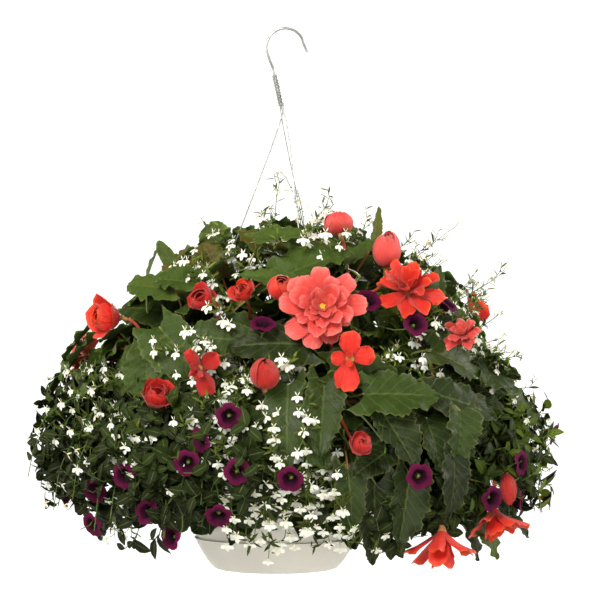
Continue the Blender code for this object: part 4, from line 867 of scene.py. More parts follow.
class Sheaf:
    """Shapes gathered into one mesh, each corner with its pattern coordinates and its shade."""

    def __init__(self):
        self.points = []
        self.loops = []
        self.sizes = []
        self.uvs = []
        self.shades = []
        self.slots = []
        self.total = 0

    def add(self, shape, points, shade, slot=0, underside=0):
        """Adds a copy of a shape with its own corners; slot and underside choose its finishes."""
        self.points.append(points)
        self.loops.append(shape.loops + self.total)
        self.sizes.append(shape.sizes)
        self.uvs.append(shape.uvs)
        self.shades.append(np.full(len(points), shade))
        self.slots.append(slot + underside * shape.below)
        self.total += len(points)

    def add_tube(self, path, start_radius, end_radius, shade, sides, steps, slot=0):
        """A round stalk through a route's points, closed at both ends."""
        route = smooth_route(path, steps)
        count = len(route)
        tangents = np.gradient(route, axis=0)
        tangents /= np.linalg.norm(tangents, axis=1)[:, None]
        across = np.cross(tangents[0], (0.31, 0.74, 0.6))
        across /= np.linalg.norm(across)
        angles = 2 * np.pi * np.arange(sides) / sides
        radii = start_radius + (end_radius - start_radius) * np.linspace(0, 1, count)
        points = np.empty((count, sides, 3))
        for i in range(count):
            across = across - tangents[i] * across.dot(tangents[i])
            across /= np.linalg.norm(across)
            side = np.cross(tangents[i], across)
            ring = np.cos(angles)[:, None] * across + np.sin(angles)[:, None] * side
            points[i] = route[i] + radii[i] * ring
        faces = [tuple(range(sides))[::-1]]
        for i in range(count - 1):
            for k in range(sides):
                n = (k + 1) % sides
                faces.append((i * sides + k, i * sides + n, (i + 1) * sides + n, (i + 1) * sides + k))
        faces.append(tuple((count - 1) * sides + k for k in range(sides)))
        reach = np.concatenate([[0], np.cumsum(np.linalg.norm(np.diff(route, axis=0), axis=1))])
        uvs = np.stack([np.repeat(reach * MM, sides), np.tile(np.arange(sides) / sides, count)], axis=1)
        self.add(Shape(points.reshape(-1, 3), faces, uvs), points.reshape(-1, 3), shade, slot)

    def as_shape(self):
        """All of it as one shape to copy."""
        loops = np.concatenate(self.loops)
        faces = np.split(loops, np.cumsum(np.concatenate(self.sizes))[:-1])
        return Shape(np.concatenate(self.points), faces, np.concatenate(self.uvs))

    def made(self, name, materials):
        """The mesh object, in metres, smooth and with its materials."""
        points = np.concatenate(self.points) * MM
        loops = np.concatenate(self.loops)
        sizes = np.concatenate(self.sizes)
        mesh = bpy.data.meshes.new(name)
        mesh.vertices.add(len(points))
        mesh.vertices.foreach_set("co", points.ravel())
        mesh.loops.add(len(loops))
        mesh.loops.foreach_set("vertex_index", loops)
        mesh.polygons.add(len(sizes))
        mesh.polygons.foreach_set("loop_start", np.concatenate([[0], np.cumsum(sizes)[:-1]]))
        mesh.polygons.foreach_set("material_index", np.concatenate(self.slots))
        mesh.polygons.foreach_set("use_smooth", np.ones(len(sizes), bool))
        mesh.update(calc_edges=True)
        layer = mesh.uv_layers.new(name="pattern")
        layer.data.foreach_set("uv", np.concatenate(self.uvs)[loops].ravel())
        shade = mesh.attributes.new("shade", "FLOAT", "POINT")
        shade.data.foreach_set("value", np.concatenate(self.shades))
        made = bpy.data.objects.new(name, mesh)
        bpy.context.scene.collection.objects.link(made)
        for material in materials:
            mesh.materials.append(material)
        return made


def smooth_route(path, steps):
    """A route's points with a smooth curve through them."""
    points = np.array([tuple(p) for p in path], float)
    if steps == 1 or len(points) < 3:
        return points
    ends = np.concatenate([[2 * points[0] - points[1]], points, [2 * points[-1] - points[-2]]])
    route = []
    for i in range(len(points) - 1):
        p0, p1, p2, p3 = ends[i:i + 4]
        for step in range(steps):
            t = step / steps
            route.append(0.5 * (2 * p1 + (p2 - p0) * t + (2 * p0 - 5 * p1 + 4 * p2 - p3) * t * t
                                + (3 * p1 - p0 - 3 * p2 + p3) * t ** 3))
    route.append(points[-1])
    return np.array(route)


def joined(parts, name):
    """Several meshes as one piece."""
    clear_selection()
    for part in parts:
        part.select_set(True)
    bpy.context.view_layer.objects.active = parts[0]
    if len(parts) > 1:
        bpy.ops.object.join()
    made = bpy.context.object
    made.name = name
    made.data.name = name
    bpy.ops.object.shade_smooth_by_angle(angle=GROWN_CREASE)
    return made


# Shapes that are copied
def small_leaf_shape(rows, width_share, droop):
    """A small leaf one unit long: oval, folded a little along its midrib, its tip bent down."""
    blade = Blade(rows, 2)
    u, v = blade.u, blade.v
    half = 0.5 * width_share * np.sin(np.pi * np.clip(u, 0.02, 0.985) ** 0.85) ** 0.7
    x = u * np.cos(0.5 * droop * u)
    z = 0.16 * np.abs(v) * half - 0.5 * droop * u * u - SMALL_THICKNESS * blade.under
    blade.points = np.stack([x, v * half, z], axis=1)
    return blade


def trumpet_shape():
    """A calibrachoa flower: its throat, and a limb flared to five shallow, notched lobes.

    The pattern's first coordinate runs round it and the second from the throat (0) to the rim (1).
    """
    rings = 6
    sides = 25
    points = []
    uvs = []
    for i in list(range(rings + 1)) + list(range(rings - 1, -1, -1)):
        reach = i / rings
        outside = len(points) > rings * sides and i < rings
        for k in range(sides):
            angle = 2 * math.pi * k / sides
            lobe = abs(math.sin(2.5 * angle))
            rim = TRUMPET_RADIUS * (0.86 + 0.15 * lobe ** 0.5)
            radius = 1.0 + (rim - 1.0) * reach ** 0.85
            height = -TRUMPET_DEPTH * 0.82 * max(0.0, 1 - reach * 2.0) ** 1.2 - 1.0 * (1 - reach)
            height += reach ** 3 * (0.9 * math.cos(5 * angle) + 0.5 * math.sin(2 * angle + 1))
            height -= 1.2 * reach ** 6
            if outside:
                radius += 0.4 * (1 - reach)
                height -= 0.3
            points.append((radius * math.cos(angle), radius * math.sin(angle), height))
            uvs.append((k / sides, reach))
    faces = []
    for i in range(2 * rings):
        for k in range(sides):
            n = (k + 1) % sides
            faces.append((i * sides + k, (i + 1) * sides + k, (i + 1) * sides + n, i * sides + n))
    last = 2 * rings * sides
    for k in range(sides):
        n = (k + 1) % sides
        faces.append((last + k, k, n, last + n))
    return Shape(points, faces, uvs)


def floret_shape():
    """A lobelia flower one unit across: three broad lower lobes, two narrow upper ones and its tube.

    The pattern's first coordinate runs out along each lobe.
    """
    flower = Sheaf()
    blade = Blade(2, 2)
    along = np.select([blade.u < 0.1, blade.u < 0.9], [0.05, 0.66], 1.0)
    wide = np.select([blade.u < 0.1, blade.u < 0.9], [0.2, 1.0], 0.34)
    lobes = [(-90, 0.62, 0.38, -0.2), (-34, 0.6, 0.36, -0.1), (214, 0.6, 0.36, -0.1),
             (56, 0.36, 0.10, 0.2), (124, 0.36, 0.10, 0.2)]
    for azimuth, reach, width, droop in lobes:
        lift = droop * along * along + 0.04 * (1 - np.abs(blade.v)) * along - 0.025 * blade.under
        points = np.stack([reach * along, 0.5 * width * wide * blade.v, lift], axis=1)
        flower.add(blade, placed(points, Matrix.Rotation(math.radians(azimuth), 4, "Z")), 0)
    flower.add_tube([Vector((0, 0, 0)), Vector((0, 0, -FLORET_TUBE))], 0.075, 0.06, 0, sides=4, steps=1)
    return flower.as_shape()


# Petals of each kind of open bloom, from the outside in: count, length, width, opening, arch, ruffle, cup
FINE_PETALS = {
    "double": [(9, 43, 21, 84, 10, 3.8, 0.14), (8, 38, 20, 71, 8, 3.8, 0.18), (7, 31, 17, 58, 4, 3.0, 0.22),
               (6, 22, 13, 44, -4, 1.8, 0.26), (4, 12, 9, 40, -10, 0.9, 0.25)],
    "cup": [(4, 31, 29, 54, -22, 1.6, 0.30), (3, 28, 25, 36, -26, 1.2, 0.34)],
    "rosebud": [(4, 27, 25, 50, -24, 1.8, 0.3), (3, 25, 22, 32, -26, 1.4, 0.32)],
    "star": [(4, 34, 26, 80, 14, 5.2, 0.16), (2, 13, 10, 50, 4, 1.2, 0.18)],
    "fan": [(8, 45, 20, 76, 8, 4.2, 0.2), (6, 38, 17, 52, 2, 3.4, 0.26), (4, 26, 13, 30, 0, 2.0, 0.26)],
    "bell": [(6, 42, 18, 50, 12, 2.6, 0.26), (5, 35, 19, 30, -14, 2.0, 0.30), (3, 27, 16, 14, 0, 1.2, 0.3)],
}
# How much narrower than round the end of a petal is
PETAL_POINT = {"fan": 1.6, "bell": 1.35, "cup": 1.15, "rosebud": 1.2}
# Shares of a star's four large petals
STAR_SHARES = (1.0, 0.94, 0.66, 1.06)
# Petals folded round the middle of a bloom: count, globe's radius, height, turn at its mouth in degrees
WRAPPED_PETALS = {
    "cup": [(3, 12.5, 25, 142), (3, 9.0, 23, 150)],
    "globe": [(4, 18.5, 31, 154), (3, 15.5, 30, 164), (3, 11.0, 28.5, 168)],
    "goblet": [(4, 15.5, 40, 168), (3, 13.5, 39.5, 173), (3, 10.0, 38, 172)],
    "closed": [(4, 18.0, 32, 173), (3, 15.5, 31, 174), (3, 11.0, 29.5, 172)],
    "rosebud": [(3, 12.0, 25, 158), (3, 9.5, 25, 166), (3, 6.5, 24, 170)],
    "bud": [(3, 14.0, 30, 177), (3, 12.6, 29, 176)],
    "slim": [(3, 9.0, 35, 178), (3, 7.9, 34, 177)],
    "bell": [(3, 8.0, 26, 120)],
}
# Blooms whose fine piece is of a kind of its own
FINE_KINDS = {
    "bloom_coral_half": "closed", "bud_red_double": "rosebud", "bloom_orange_behind": "globe",
    "bud_hanging": "slim", "bloom_coral_small": "fan",
}
# How far round the bloom a folded petal reaches, on each side of its middle
WRAP_SPAN = math.radians(84)


def petal_points(blade, length, width, arch, ruffle, cup, phase, point):
    """Corners of one petal from its claw to its round, notched end, in its own frame."""
    u, v = blade.u, blade.v
    turn = math.radians(arch) if abs(arch) > 1 else 0.02
    v = np.sin(1.35 * v) / math.sin(1.35)
    claw = 0.24 + 0.76 * np.sin(0.5 * np.pi * np.minimum(u / 0.7, 1.0)) ** 1.3
    half = 0.5 * width * claw * (1 + 0.05 * np.sin(8 * u + phase + 2 * np.sign(v)) * u)
    end = u ** 3
    drop = 0.44 * width * point * (1 - (1 - np.minimum(np.abs(v), 1) ** (2.3 / point)) ** 0.5)
    notch = 2.4 * np.exp(-((v - 0.3 * math.sin(phase)) / 0.14) ** 2) + 0.8 * np.sin(9 * v + phase)
    along = length * u - (drop + notch * width / 30) * end
    angle = turn * along / length
    bend = length / turn
    wave = np.sin(4.4 * v + phase) + 0.6 * np.sin(7.3 * v - 1.7 * phase + 3 * u)
    lift = ruffle * end * wave * (0.35 + 0.65 * np.abs(v)) + cup * half * v * v
    lift = lift - 0.05 * width * np.exp(-(v / 0.2) ** 2) * (1 - u) - PETAL_SHEET * blade.under
    x = bend * np.sin(angle) + np.sin(angle) * lift
    z = -bend * (1 - np.cos(angle)) + np.cos(angle) * lift
    return np.stack([x, v * half, z], axis=1)


def wrapped_points(blade, radius, height, mouth, angle, phase):
    """Corners of one petal wrapped round a closed bloom's globe, one side over its neighbour's."""
    u, v = blade.u, blade.v
    first = math.radians(12)
    last = math.radians(mouth)
    reach = u * (1 - 0.13 * np.abs(v) ** 2.6 + 0.02 * np.sin(5 * v + phase))
    turn = first + (last - first) * reach
    out = radius * np.sin(turn) + 0.9 * v + 0.35 * u ** 3 * np.sin(4 * v + phase)
    out = np.maximum(out, 0.6) + PETAL_SHEET * blade.under
    around_axis = angle + WRAP_SPAN * v * (1 - 0.24 * np.clip((u - 0.6) / 0.4, 0, 1) ** 2)
    up = height * (1 - np.cos(turn)) / (1 - math.cos(last))
    return np.stack([out * np.cos(around_axis), out * np.sin(around_axis), up], axis=1)


def bloom_sheaf(kind, size, origin, facing, turn, seed):
    """All petals of a bloom, layer by layer, each with its own bend and ruffles."""
    draw = random.Random(seed)
    sheaf = Sheaf()
    hint = UP if abs(facing.z) < 0.95 else Vector((1, 0, 0))
    sideways = hint.cross(facing).normalized()
    upward = facing.cross(sideways)
    first = BLOOM_FIRST.get(kind, 10) + turn
    place = axes_at(sideways, upward, facing, origin - facing * 1.0)
    for number, (count, radius, height, mouth) in enumerate(WRAPPED_PETALS.get(kind, [])):
        for k in range(count):
            angle = math.radians(first + 360 * (k + 0.5 * (number % 2)) / count + draw.uniform(-14, 14))
            rise = height * draw.uniform(0.9, 1.05) * size
            points = wrapped_points(PETAL, radius * size, rise, mouth, angle, draw.uniform(0, 6))
            sheaf.add(PETAL, placed(points, place), 0.25 * draw.random() + 0.1 * number)
    layers = FINE_PETALS.get(kind, [])
    for number, (count, length, width, opening, arch, ruffle, cup) in enumerate(layers):
        rise = LAYER_STEP * (BLOOM_LAYERS.get(kind, 2) - 1) * number / max(len(layers) - 1, 1)
        for k in range(count):
            angle = math.radians(first + 360 * (k + 0.5 * (number % 2)) / count + draw.uniform(-12, 12))
            lean = math.radians(opening + draw.uniform(-10, 10))
            out = sideways * math.cos(angle) + upward * math.sin(angle)
            along = facing * math.cos(lean) + out * math.sin(lean)
            inner = facing * math.sin(lean) - out * math.cos(lean)
            place = axes_at(along, inner.cross(along), inner, origin + facing * rise)
            stretch = size * draw.uniform(0.78, 1.1)
            if kind == "star" and number == 0:
                stretch *= STAR_SHARES[k]
            points = petal_points(PETAL, length * stretch, width * stretch, arch + draw.uniform(-10, 10),
                                  ruffle * size, cup, draw.uniform(0, 6), PETAL_POINT.get(kind, 1.0))
            sheaf.add(PETAL, placed(points, place), 0.25 * draw.random() + 0.75 * number / len(layers))
    return sheaf


def linear(hex_colour):
    """An sRGB hex colour as linear RGBA."""
    parts = [int(hex_colour[i:i + 2], 16) / 255 for i in (1, 3, 5)]
    return [p / 12.92 if p <= 0.04045 else ((p + 0.055) / 1.055) ** 2.4 for p in parts] + [1.0]


def grain(size):
    """The scale of a pattern whose cells or clouds are this many millimetres across."""
    return 1 / (size * MM)


def fill_inputs(tree, node, values):
    """Gives a node's inputs, by name or in order, plain values, outputs, or other nodes' first outputs."""
    pairs = values.items() if isinstance(values, dict) else enumerate(values)
    for name, value in pairs:
        if isinstance(value, bpy.types.Node):
            value = value.outputs[0]
        if isinstance(value, bpy.types.NodeSocket):
            tree.links.new(value, node.inputs[name])
        else:
            node.inputs[name].default_value = value


def add_node(tree, kind, values=(), stops=(), **options):
    """A node with its options, its inputs and a ramp's colours."""
    node = tree.nodes.new("ShaderNode" + kind)
    for name, value in options.items():
        setattr(node, name, value)
    fill_inputs(tree, node, values)
    for number, (position, colour) in enumerate(stops):
        elements = node.color_ramp.elements
        element = elements[number] if number < len(elements) else elements.new(position)
        element.position = position
        element.color = linear(colour)
    return node


def new_finish(name, roughness, ior=1.45, metallic=0.0):
    """An empty finish with its shader: the material, its nodes and the shader."""
    made = bpy.data.materials.new(name)
    made.use_nodes = True
    tree = made.node_tree
    shader = tree.nodes["Principled BSDF"]
    fill_inputs(tree, shader, {"Roughness": roughness, "Metallic": metallic, "IOR": ior})
    return made, tree, shader


def moulded_polypropylene():
    """Satin pale grey polypropylene, injection moulded: a soft sheen over an orange-peel skin.

    The skin's grain is finer on the real pot, and is drawn as coarse as it needs to show.
    """
    made, tree, shader = new_finish("moulded_polypropylene", 0.42, 1.49)
    place = add_node(tree, "TexCoord").outputs["Object"]
    cloud = add_node(tree, "TexNoise", {"Vector": place, "Scale": grain(71.4), "Detail": 3.0})
    tint = add_node(tree, "ValToRGB", [cloud], [(0.3, "#D6D3CC"), (0.7, "#DEDBD5")])
    skin = add_node(tree, "TexNoise", {"Vector": place, "Scale": grain(1.11), "Detail": 2.0})
    relief = add_node(tree, "Bump", {"Height": skin, "Strength": 0.12, "Distance": 0.0003})
    fill_inputs(tree, shader, {"Base Color": tint, "Normal": relief})
    return made


def moist_peat():
    """Moist peat compost in crumbs of about 4 mm: dark and quite without gloss, with paler fibres."""
    made, tree, shader = new_finish("moist_peat", 0.95)
    place = add_node(tree, "TexCoord").outputs["Object"]
    crumbs = add_node(tree, "TexVoronoi", {"Vector": place, "Scale": grain(3.85)})
    tint = add_node(tree, "ValToRGB", [crumbs], [(0.0, "#1E140D"), (0.5, "#3A291C"), (0.9, "#6A5038")])
    relief = add_node(tree, "Bump", {"Height": crumbs, "Strength": 0.9, "Distance": 0.002})
    fill_inputs(tree, shader, {"Base Color": tint, "Normal": relief})
    return made


def galvanised_steel():
    """Galvanised steel wire, its zinc dulled to a pale grey by weather, in clouds of about 8 mm."""
    made, tree, shader = new_finish("galvanised_steel", 0.3, 1.5, 0.6)
    place = add_node(tree, "TexCoord").outputs["Object"]
    wear = add_node(tree, "TexNoise", {"Vector": place, "Scale": grain(8.33), "Detail": 4.0})
    tint = add_node(tree, "ValToRGB", [wear], [(0.3, "#8E9091"), (0.65, "#B4B6B7")])
    rough = add_node(tree, "MapRange", (wear, 0.0, 1.0, 0.22, 0.42))
    fill_inputs(tree, shader, {"Base Color": tint, "Roughness": rough})
    return made


def leaf_pattern(tree, veins, slant, strength):
    """How near a place on a blade lies to a vein (1 on it), and to the blade's edge (1 on it)."""
    spot = add_node(tree, "SeparateXYZ", [add_node(tree, "UVMap", uv_map="pattern")]).outputs
    centred = add_node(tree, "Math", (spot["Y"], 2.0, -1.0), operation="MULTIPLY_ADD")
    across = add_node(tree, "Math", [centred], operation="ABSOLUTE")
    slanted = add_node(tree, "Math", (across, -slant, spot["X"]), operation="MULTIPLY_ADD")
    wave = add_node(tree, "Math", (slanted, math.pi * veins), operation="MULTIPLY")
    side = add_node(tree, "Math", [wave], operation="SINE")
    away = add_node(tree, "Math", [side], operation="ABSOLUTE")
    vein = add_node(tree, "MapRange", (away, 0.0, 0.28, strength, 0.0), interpolation_type="SMOOTHSTEP")
    midrib = add_node(tree, "MapRange", (across, 0.02, 0.09, 1.0, 0.0), interpolation_type="SMOOTHSTEP")
    edge = add_node(tree, "MapRange", (across, 0.9, 1.0), interpolation_type="SMOOTHSTEP")
    return add_node(tree, "Math", (vein, midrib), operation="MAXIMUM").outputs[0], edge.outputs[0]


def begonia_leaf(name, body, vein_colour, edge_colour, roughness, depth):
    """A living begonia leaf: softly glossy, with paler, raised veins and thin light margins.

    Its green is cloudy over some 22 mm, and its skin is quilted in cells of 3 mm.
    """
    made, tree, shader = new_finish(name, roughness, 1.3)
    place = add_node(tree, "TexCoord").outputs["Object"]
    shade = add_node(tree, "Attribute", attribute_name="shade").outputs["Fac"]
    cloud = add_node(tree, "TexNoise", {"Vector": place, "Scale": grain(22.2), "Detail": 4.0})
    mottle = add_node(tree, "Math", (cloud, 0.35, -0.175), operation="MULTIPLY_ADD")
    share = add_node(tree, "Math", (shade, mottle), operation="ADD")
    tint = add_node(tree, "ValToRGB", [share], body)
    vein, edge = leaf_pattern(tree, LEAF_VEINS, VEIN_SLANT, 0.75)
    soft = add_node(tree, "Math", (vein, 0.26), operation="MULTIPLY")
    paler = add_node(tree, "Mix", {0: soft, 6: tint, 7: linear(vein_colour)}, data_type="RGBA").outputs[2]
    rim = add_node(tree, "Math", (edge, 0.25), operation="MULTIPLY")
    lit = add_node(tree, "Mix", {0: rim, 6: paler, 7: linear(edge_colour)}, data_type="RGBA").outputs[2]
    cells = add_node(tree, "TexVoronoi", {"Vector": place, "Scale": grain(3.03)})
    height = add_node(tree, "Math", (cells, -0.7, vein), operation="MULTIPLY_ADD")
    relief = add_node(tree, "Bump", {"Height": height, "Strength": 0.3, "Distance": depth})
    gloss = add_node(tree, "MapRange", (cloud, 0.3, 0.7, roughness - 0.08, roughness + 0.14))
    fill_inputs(tree, shader, {
        "Base Color": lit, "Roughness": gloss, "Normal": relief,
        "Subsurface Weight": 0.12, "Subsurface Radius": (0.4, 1.0, 0.2), "Subsurface Scale": 0.001,
    })
    return made


def small_leaf(name, body, roughness):
    """A small, matt leaf: plain green, with a slightly paler midrib."""
    made, tree, shader = new_finish(name, roughness, 1.24)
    shade = add_node(tree, "Attribute", attribute_name="shade").outputs["Fac"]
    tint = add_node(tree, "ValToRGB", [shade], body)
    vein, edge = leaf_pattern(tree, 1.0, 0.0, 0.0)
    faint = add_node(tree, "Math", (vein, 0.18), operation="MULTIPLY")
    paler = add_node(tree, "Mix", {0: faint, 6: tint, 7: linear("#A9BE7C")}, data_type="RGBA").outputs[2]
    fill_inputs(tree, shader, {"Base Color": paler})
    return made


def fleshy_stem(name, stops, roughness):
    """A juicy stem: smooth, cloudy over some 17 mm, and flushed with red where its shade is high.

    The fine hairs of the real one are drawn as a grain of 1.4 mm, so that it shows.
    """
    made, tree, shader = new_finish(name, roughness, 1.36)
    place = add_node(tree, "TexCoord").outputs["Object"]
    shade = add_node(tree, "Attribute", attribute_name="shade").outputs["Fac"]
    cloud = add_node(tree, "TexNoise", {"Vector": place, "Scale": grain(16.7), "Detail": 3.0})
    mottle = add_node(tree, "Math", (cloud, 0.4, -0.2), operation="MULTIPLY_ADD")
    share = add_node(tree, "Math", (shade, mottle), operation="ADD")
    tint = add_node(tree, "ValToRGB", [share], stops)
    fine = add_node(tree, "TexNoise", {"Vector": place, "Scale": grain(1.43), "Detail": 2.0})
    relief = add_node(tree, "Bump", {"Height": fine, "Strength": 0.25, "Distance": 0.0004})
    fill_inputs(tree, shader, {"Base Color": tint, "Normal": relief})
    return made


def begonia_petal(name, claw, body, edge, heart):
    """A begonia petal: satin, paler at its ruffled end, darker towards its claw, partly its own colour and
    partly painted shade where the petals crowd together, and warm towards the heart of the bloom.

    Fine ribs run along it, 26 across a petal of some 20 mm, which is as coarse as they need to show.
    """
    made, tree, shader = new_finish(name, 0.5, 1.4)
    spot = add_node(tree, "UVMap", uv_map="pattern")
    split = add_node(tree, "SeparateXYZ", [spot]).outputs
    shade = add_node(tree, "Attribute", attribute_name="shade").outputs["Fac"]
    stretched = add_node(tree, "Mapping", {"Vector": spot, "Scale": (2.5, 26.0, 1.0)})
    ribs = add_node(tree, "TexNoise", {"Vector": stretched, "Scale": 1.0, "Detail": 3.0})
    reach = add_node(tree, "Math", (ribs, 0.44, -0.22), operation="MULTIPLY_ADD")
    along = add_node(tree, "Math", (split["X"], reach), operation="ADD")
    # The claw's colour is darker, partly the petal's own and partly painted shade where the petals crowd at
    # the bloom's heart.
    tint = add_node(tree, "ValToRGB", [along], [(0.0, claw), (0.4, body), (0.78, body), (1.0, edge)])
    inner = add_node(tree, "MapRange", (shade, 0.45, 0.85))
    near = add_node(tree, "MapRange", (along, 0.1, 0.6, 1.0, 0.0))
    glow = add_node(tree, "Math", (inner, near), operation="MULTIPLY")
    warm = add_node(tree, "Mix", {0: glow, 6: tint, 7: linear(heart)}, data_type="RGBA").outputs[2]
    relief = add_node(tree, "Bump", {"Height": ribs, "Strength": 0.9, "Distance": 0.0016})
    fill_inputs(tree, shader, {
        "Base Color": warm, "Normal": relief, "Sheen Weight": 0.15,
        "Subsurface Weight": 0.3, "Subsurface Radius": (1.0, 0.35, 0.25), "Subsurface Scale": 0.003,
    })
    return made


def calibrachoa_petal():
    """A calibrachoa flower: velvety magenta-purple with a near-black throat and an olive-yellow eye.

    Its purple is cloudy over some 6 mm.
    """
    made, tree, shader = new_finish("calibrachoa_petal", 0.75, 1.22)
    spot = add_node(tree, "SeparateXYZ", [add_node(tree, "UVMap", uv_map="pattern")]).outputs
    place = add_node(tree, "TexCoord").outputs["Object"]
    cloud = add_node(tree, "TexNoise", {"Vector": place, "Scale": grain(6.25), "Detail": 3.0})
    shift = add_node(tree, "Math", (cloud, 0.2, -0.1), operation="MULTIPLY_ADD")
    reach = add_node(tree, "Math", (spot["Y"], shift), operation="ADD")
    tint = add_node(tree, "ValToRGB", [reach], [(0.06, "#8A6E28"), (0.14, "#140210"), (0.34, "#28041B"),
                                                (0.6, "#440529"), (1.0, "#5C0938")])
    relief = add_node(tree, "Bump", {"Height": cloud, "Strength": 0.3, "Distance": 0.001})
    fill_inputs(tree, shader, {"Base Color": tint, "Normal": relief})
    return made


def lobelia_petal():
    """A lobelia flower: thin cream-white petals, a touch of green-yellow in the throat."""
    made, tree, shader = new_finish("lobelia_petal", 0.6, 1.4)
    spot = add_node(tree, "SeparateXYZ", [add_node(tree, "UVMap", uv_map="pattern")]).outputs
    tint = add_node(tree, "ValToRGB", [spot["X"]], [(0.0, "#D9DAA6"), (0.14, "#EFE9DC"), (1.0, "#F6F1E9")])
    fill_inputs(tree, shader, {"Base Color": tint, "Subsurface Weight": 0.2, "Subsurface Scale": 0.002})
    return made


def dusted_stamen():
    """Stamens dusted with pollen in grains of under 1 mm, coarser than the real ones: matt egg yellow."""
    made, tree, shader = new_finish("pollen_dusted_stamen", 0.8)
    place = add_node(tree, "TexCoord").outputs["Object"]
    dust = add_node(tree, "TexNoise", {"Vector": place, "Scale": grain(0.667), "Detail": 2.0})
    tint = add_node(tree, "ValToRGB", [dust], [(0.35, "#D9901E"), (0.65, "#F6C640")])
    fill_inputs(tree, shader, {"Base Color": tint})
    return made


POT_PLASTIC = moulded_polypropylene()
PEAT = moist_peat()
STEEL = galvanised_steel()
LEAF_GREENS = [(0.0, "#161F08"), (0.4, "#2C3C12"), (0.75, "#455A20"), (0.92, "#54581E"), (1.0, "#544A18")]
UNDERSIDE_GREENS = [(0.0, "#44562A"), (1.0, "#68783E")]
LEAF_TOP = begonia_leaf("begonia_leaf", LEAF_GREENS, "#6C7A40", "#80804A", 0.5, 0.0013)
LEAF_UNDER = begonia_leaf("begonia_leaf_underside", UNDERSIDE_GREENS, "#92986A", "#8A8450", 0.6, 0.0008)
STEM_FLESH = fleshy_stem("begonia_stem", [(0.0, "#5F7A3A"), (0.6, "#77883F"), (1.0, "#9A5038")], 0.38)
FLOWER_STALK = fleshy_stem("begonia_flower_stalk", [(0.2, "#8A8A44"), (0.8, "#B0503C")], 0.38)
WIRY_STEM = fleshy_stem("trailing_stem", [(0.0, "#3A5020"), (1.0, "#667A3A")], 0.6)
# Each petal's first colour is its claw's, darker partly as painted shade at the bloom's heart.
PETALS = {
    "coral": begonia_petal("begonia_petal_coral", "#B8261E", "#DA443E", "#EC6C66", "#FF9A28"),
    "orange": begonia_petal("begonia_petal_orange", "#A00E02", "#D21E0A", "#E43A1C", "#FF7A20"),
    "red": begonia_petal("begonia_petal_red", "#780502", "#A80E06", "#C62014", "#D02A10"),
}
CALIBRACHOA_LEAF = small_leaf("calibrachoa_leaf", [(0.0, "#151C06"), (0.5, "#2C3A0E"), (1.0, "#5A6E1E")], 0.7)
CALIBRACHOA_PETAL = calibrachoa_petal()
LOBELIA_LEAF = small_leaf("lobelia_leaf", [(0.0, "#2E350F"), (1.0, "#70802C")], 0.7)
LOBELIA_PETAL = lobelia_petal()
POLLEN = dusted_stamen()
# Finishes of each kind of plant: of its large blades, of its small leaves and flowers, and of its stalks
PLANT_FINISHES = {
    "begonia": ([LEAF_TOP, LEAF_UNDER], [], [STEM_FLESH, FLOWER_STALK]),
    "calibrachoa": ([], [CALIBRACHOA_LEAF, CALIBRACHOA_PETAL], [WIRY_STEM]),
    "lobelia": ([], [LOBELIA_LEAF, LOBELIA_PETAL], [WIRY_STEM]),
}


class Plant:
    """One plant's fine piece: its large blades, its small leaves and flowers, and its stems and stalks."""

    def __init__(self, node, faces):
        self.node = node
        self.faces = faces
        self.taken = set()
        self.blades = Sheaf()
        self.thin = Sheaf()
        self.stalks = Sheaf()

    def made(self, blade_finishes, thin_finishes, stalk_finishes):
        """The plant as one piece."""
        parts = [self.stalks.made(self.node + "_stalks", stalk_finishes)]
        if self.blades.total:
            parts.append(self.blades.made(self.node + "_blades", blade_finishes))
        if self.thin.total:
            parts.append(self.thin.made(self.node + "_small", thin_finishes))
        return joined(parts, self.node + "_grown")


def aged(shade, spot):
    """A leaf's shade value, darkened low in the bush as painted shade where shadow falls, the darkening
    easing off towards its right.
    """
    return shade * min(1.0, max(0.0, (spot.z - 60) / 230, (spot.x - 60) / 220))


def add_large_leaf(plant, leaf, path, blade):
    """A large leaf with its own stalk, which runs back along a path to the stem."""
    # The blade's tone is darkened low in the bush, as painted shade.
    plant.blades.add(blade, leaf.points(blade), aged(leaf.shade, leaf.place.translation), underside=1)
    plant.stalks.add_tube(path, *PETIOLE, leaf.shade, sides=5, steps=2)


def flower_faces(layout):
    """Places before the flowers' faces, which small leaves leave free."""
    spots = []
    for node, centre, facing, path in layout.trumpets:
        spots += [centre + facing * 4, centre + facing * 14]
    for centre in layout.bare_trumpets:
        spots += [centre + outward_at(centre) * 4, centre + outward_at(centre) * 14]
    for kind, colour, size, origin, facing, turn in layout.blooms.values():
        toward = (facing + Vector((0, -0.5, 0))).normalized()
        for angle in (0, 90, 180, 270):
            spots.append(origin + facing * 14 + around(facing, math.radians(angle)) * (16 * size))
            spots.append(origin + toward * 30 + around(facing, math.radians(angle)) * (14 * size))
    return tree_of(spots)


def depth_in_bush(spot):
    """How far within the bush's outline a place lies."""
    return bush_distance(spot.z) - math.hypot(spot.x - BUSH_CENTRE.x, spot.y)


def shaded(spot):
    """True so deep within the bush that no small leaf or flower grows."""
    return depth_in_bush(spot) > SHADED_DEPTH


def straying(spot):
    """True where a leaf would stand well out of the bush's rounded side."""
    return spot.z < 300 and depth_in_bush(Vector((spot.x, spot.y, max(spot.z, 62)))) < -STRAY_DEPTH


def add_small_leaf(plant, place, length, kind, shade):
    """A small leaf, left out where it would hide a flower's face."""
    tip = place @ Vector((length, 0, 0))
    hides = plant.faces.find(place @ Vector((0.6 * length, 0, 0)))[2] < FACE_CLEARANCE
    if hides or shaded(tip) or straying(tip):
        return
    shape = SMALL_LEAVES[kind]
    # The leaf's tone is darkened low in the bush, as painted shade.
    plant.thin.add(shape, placed(shape.points * length, place), aged(shade, place.translation))


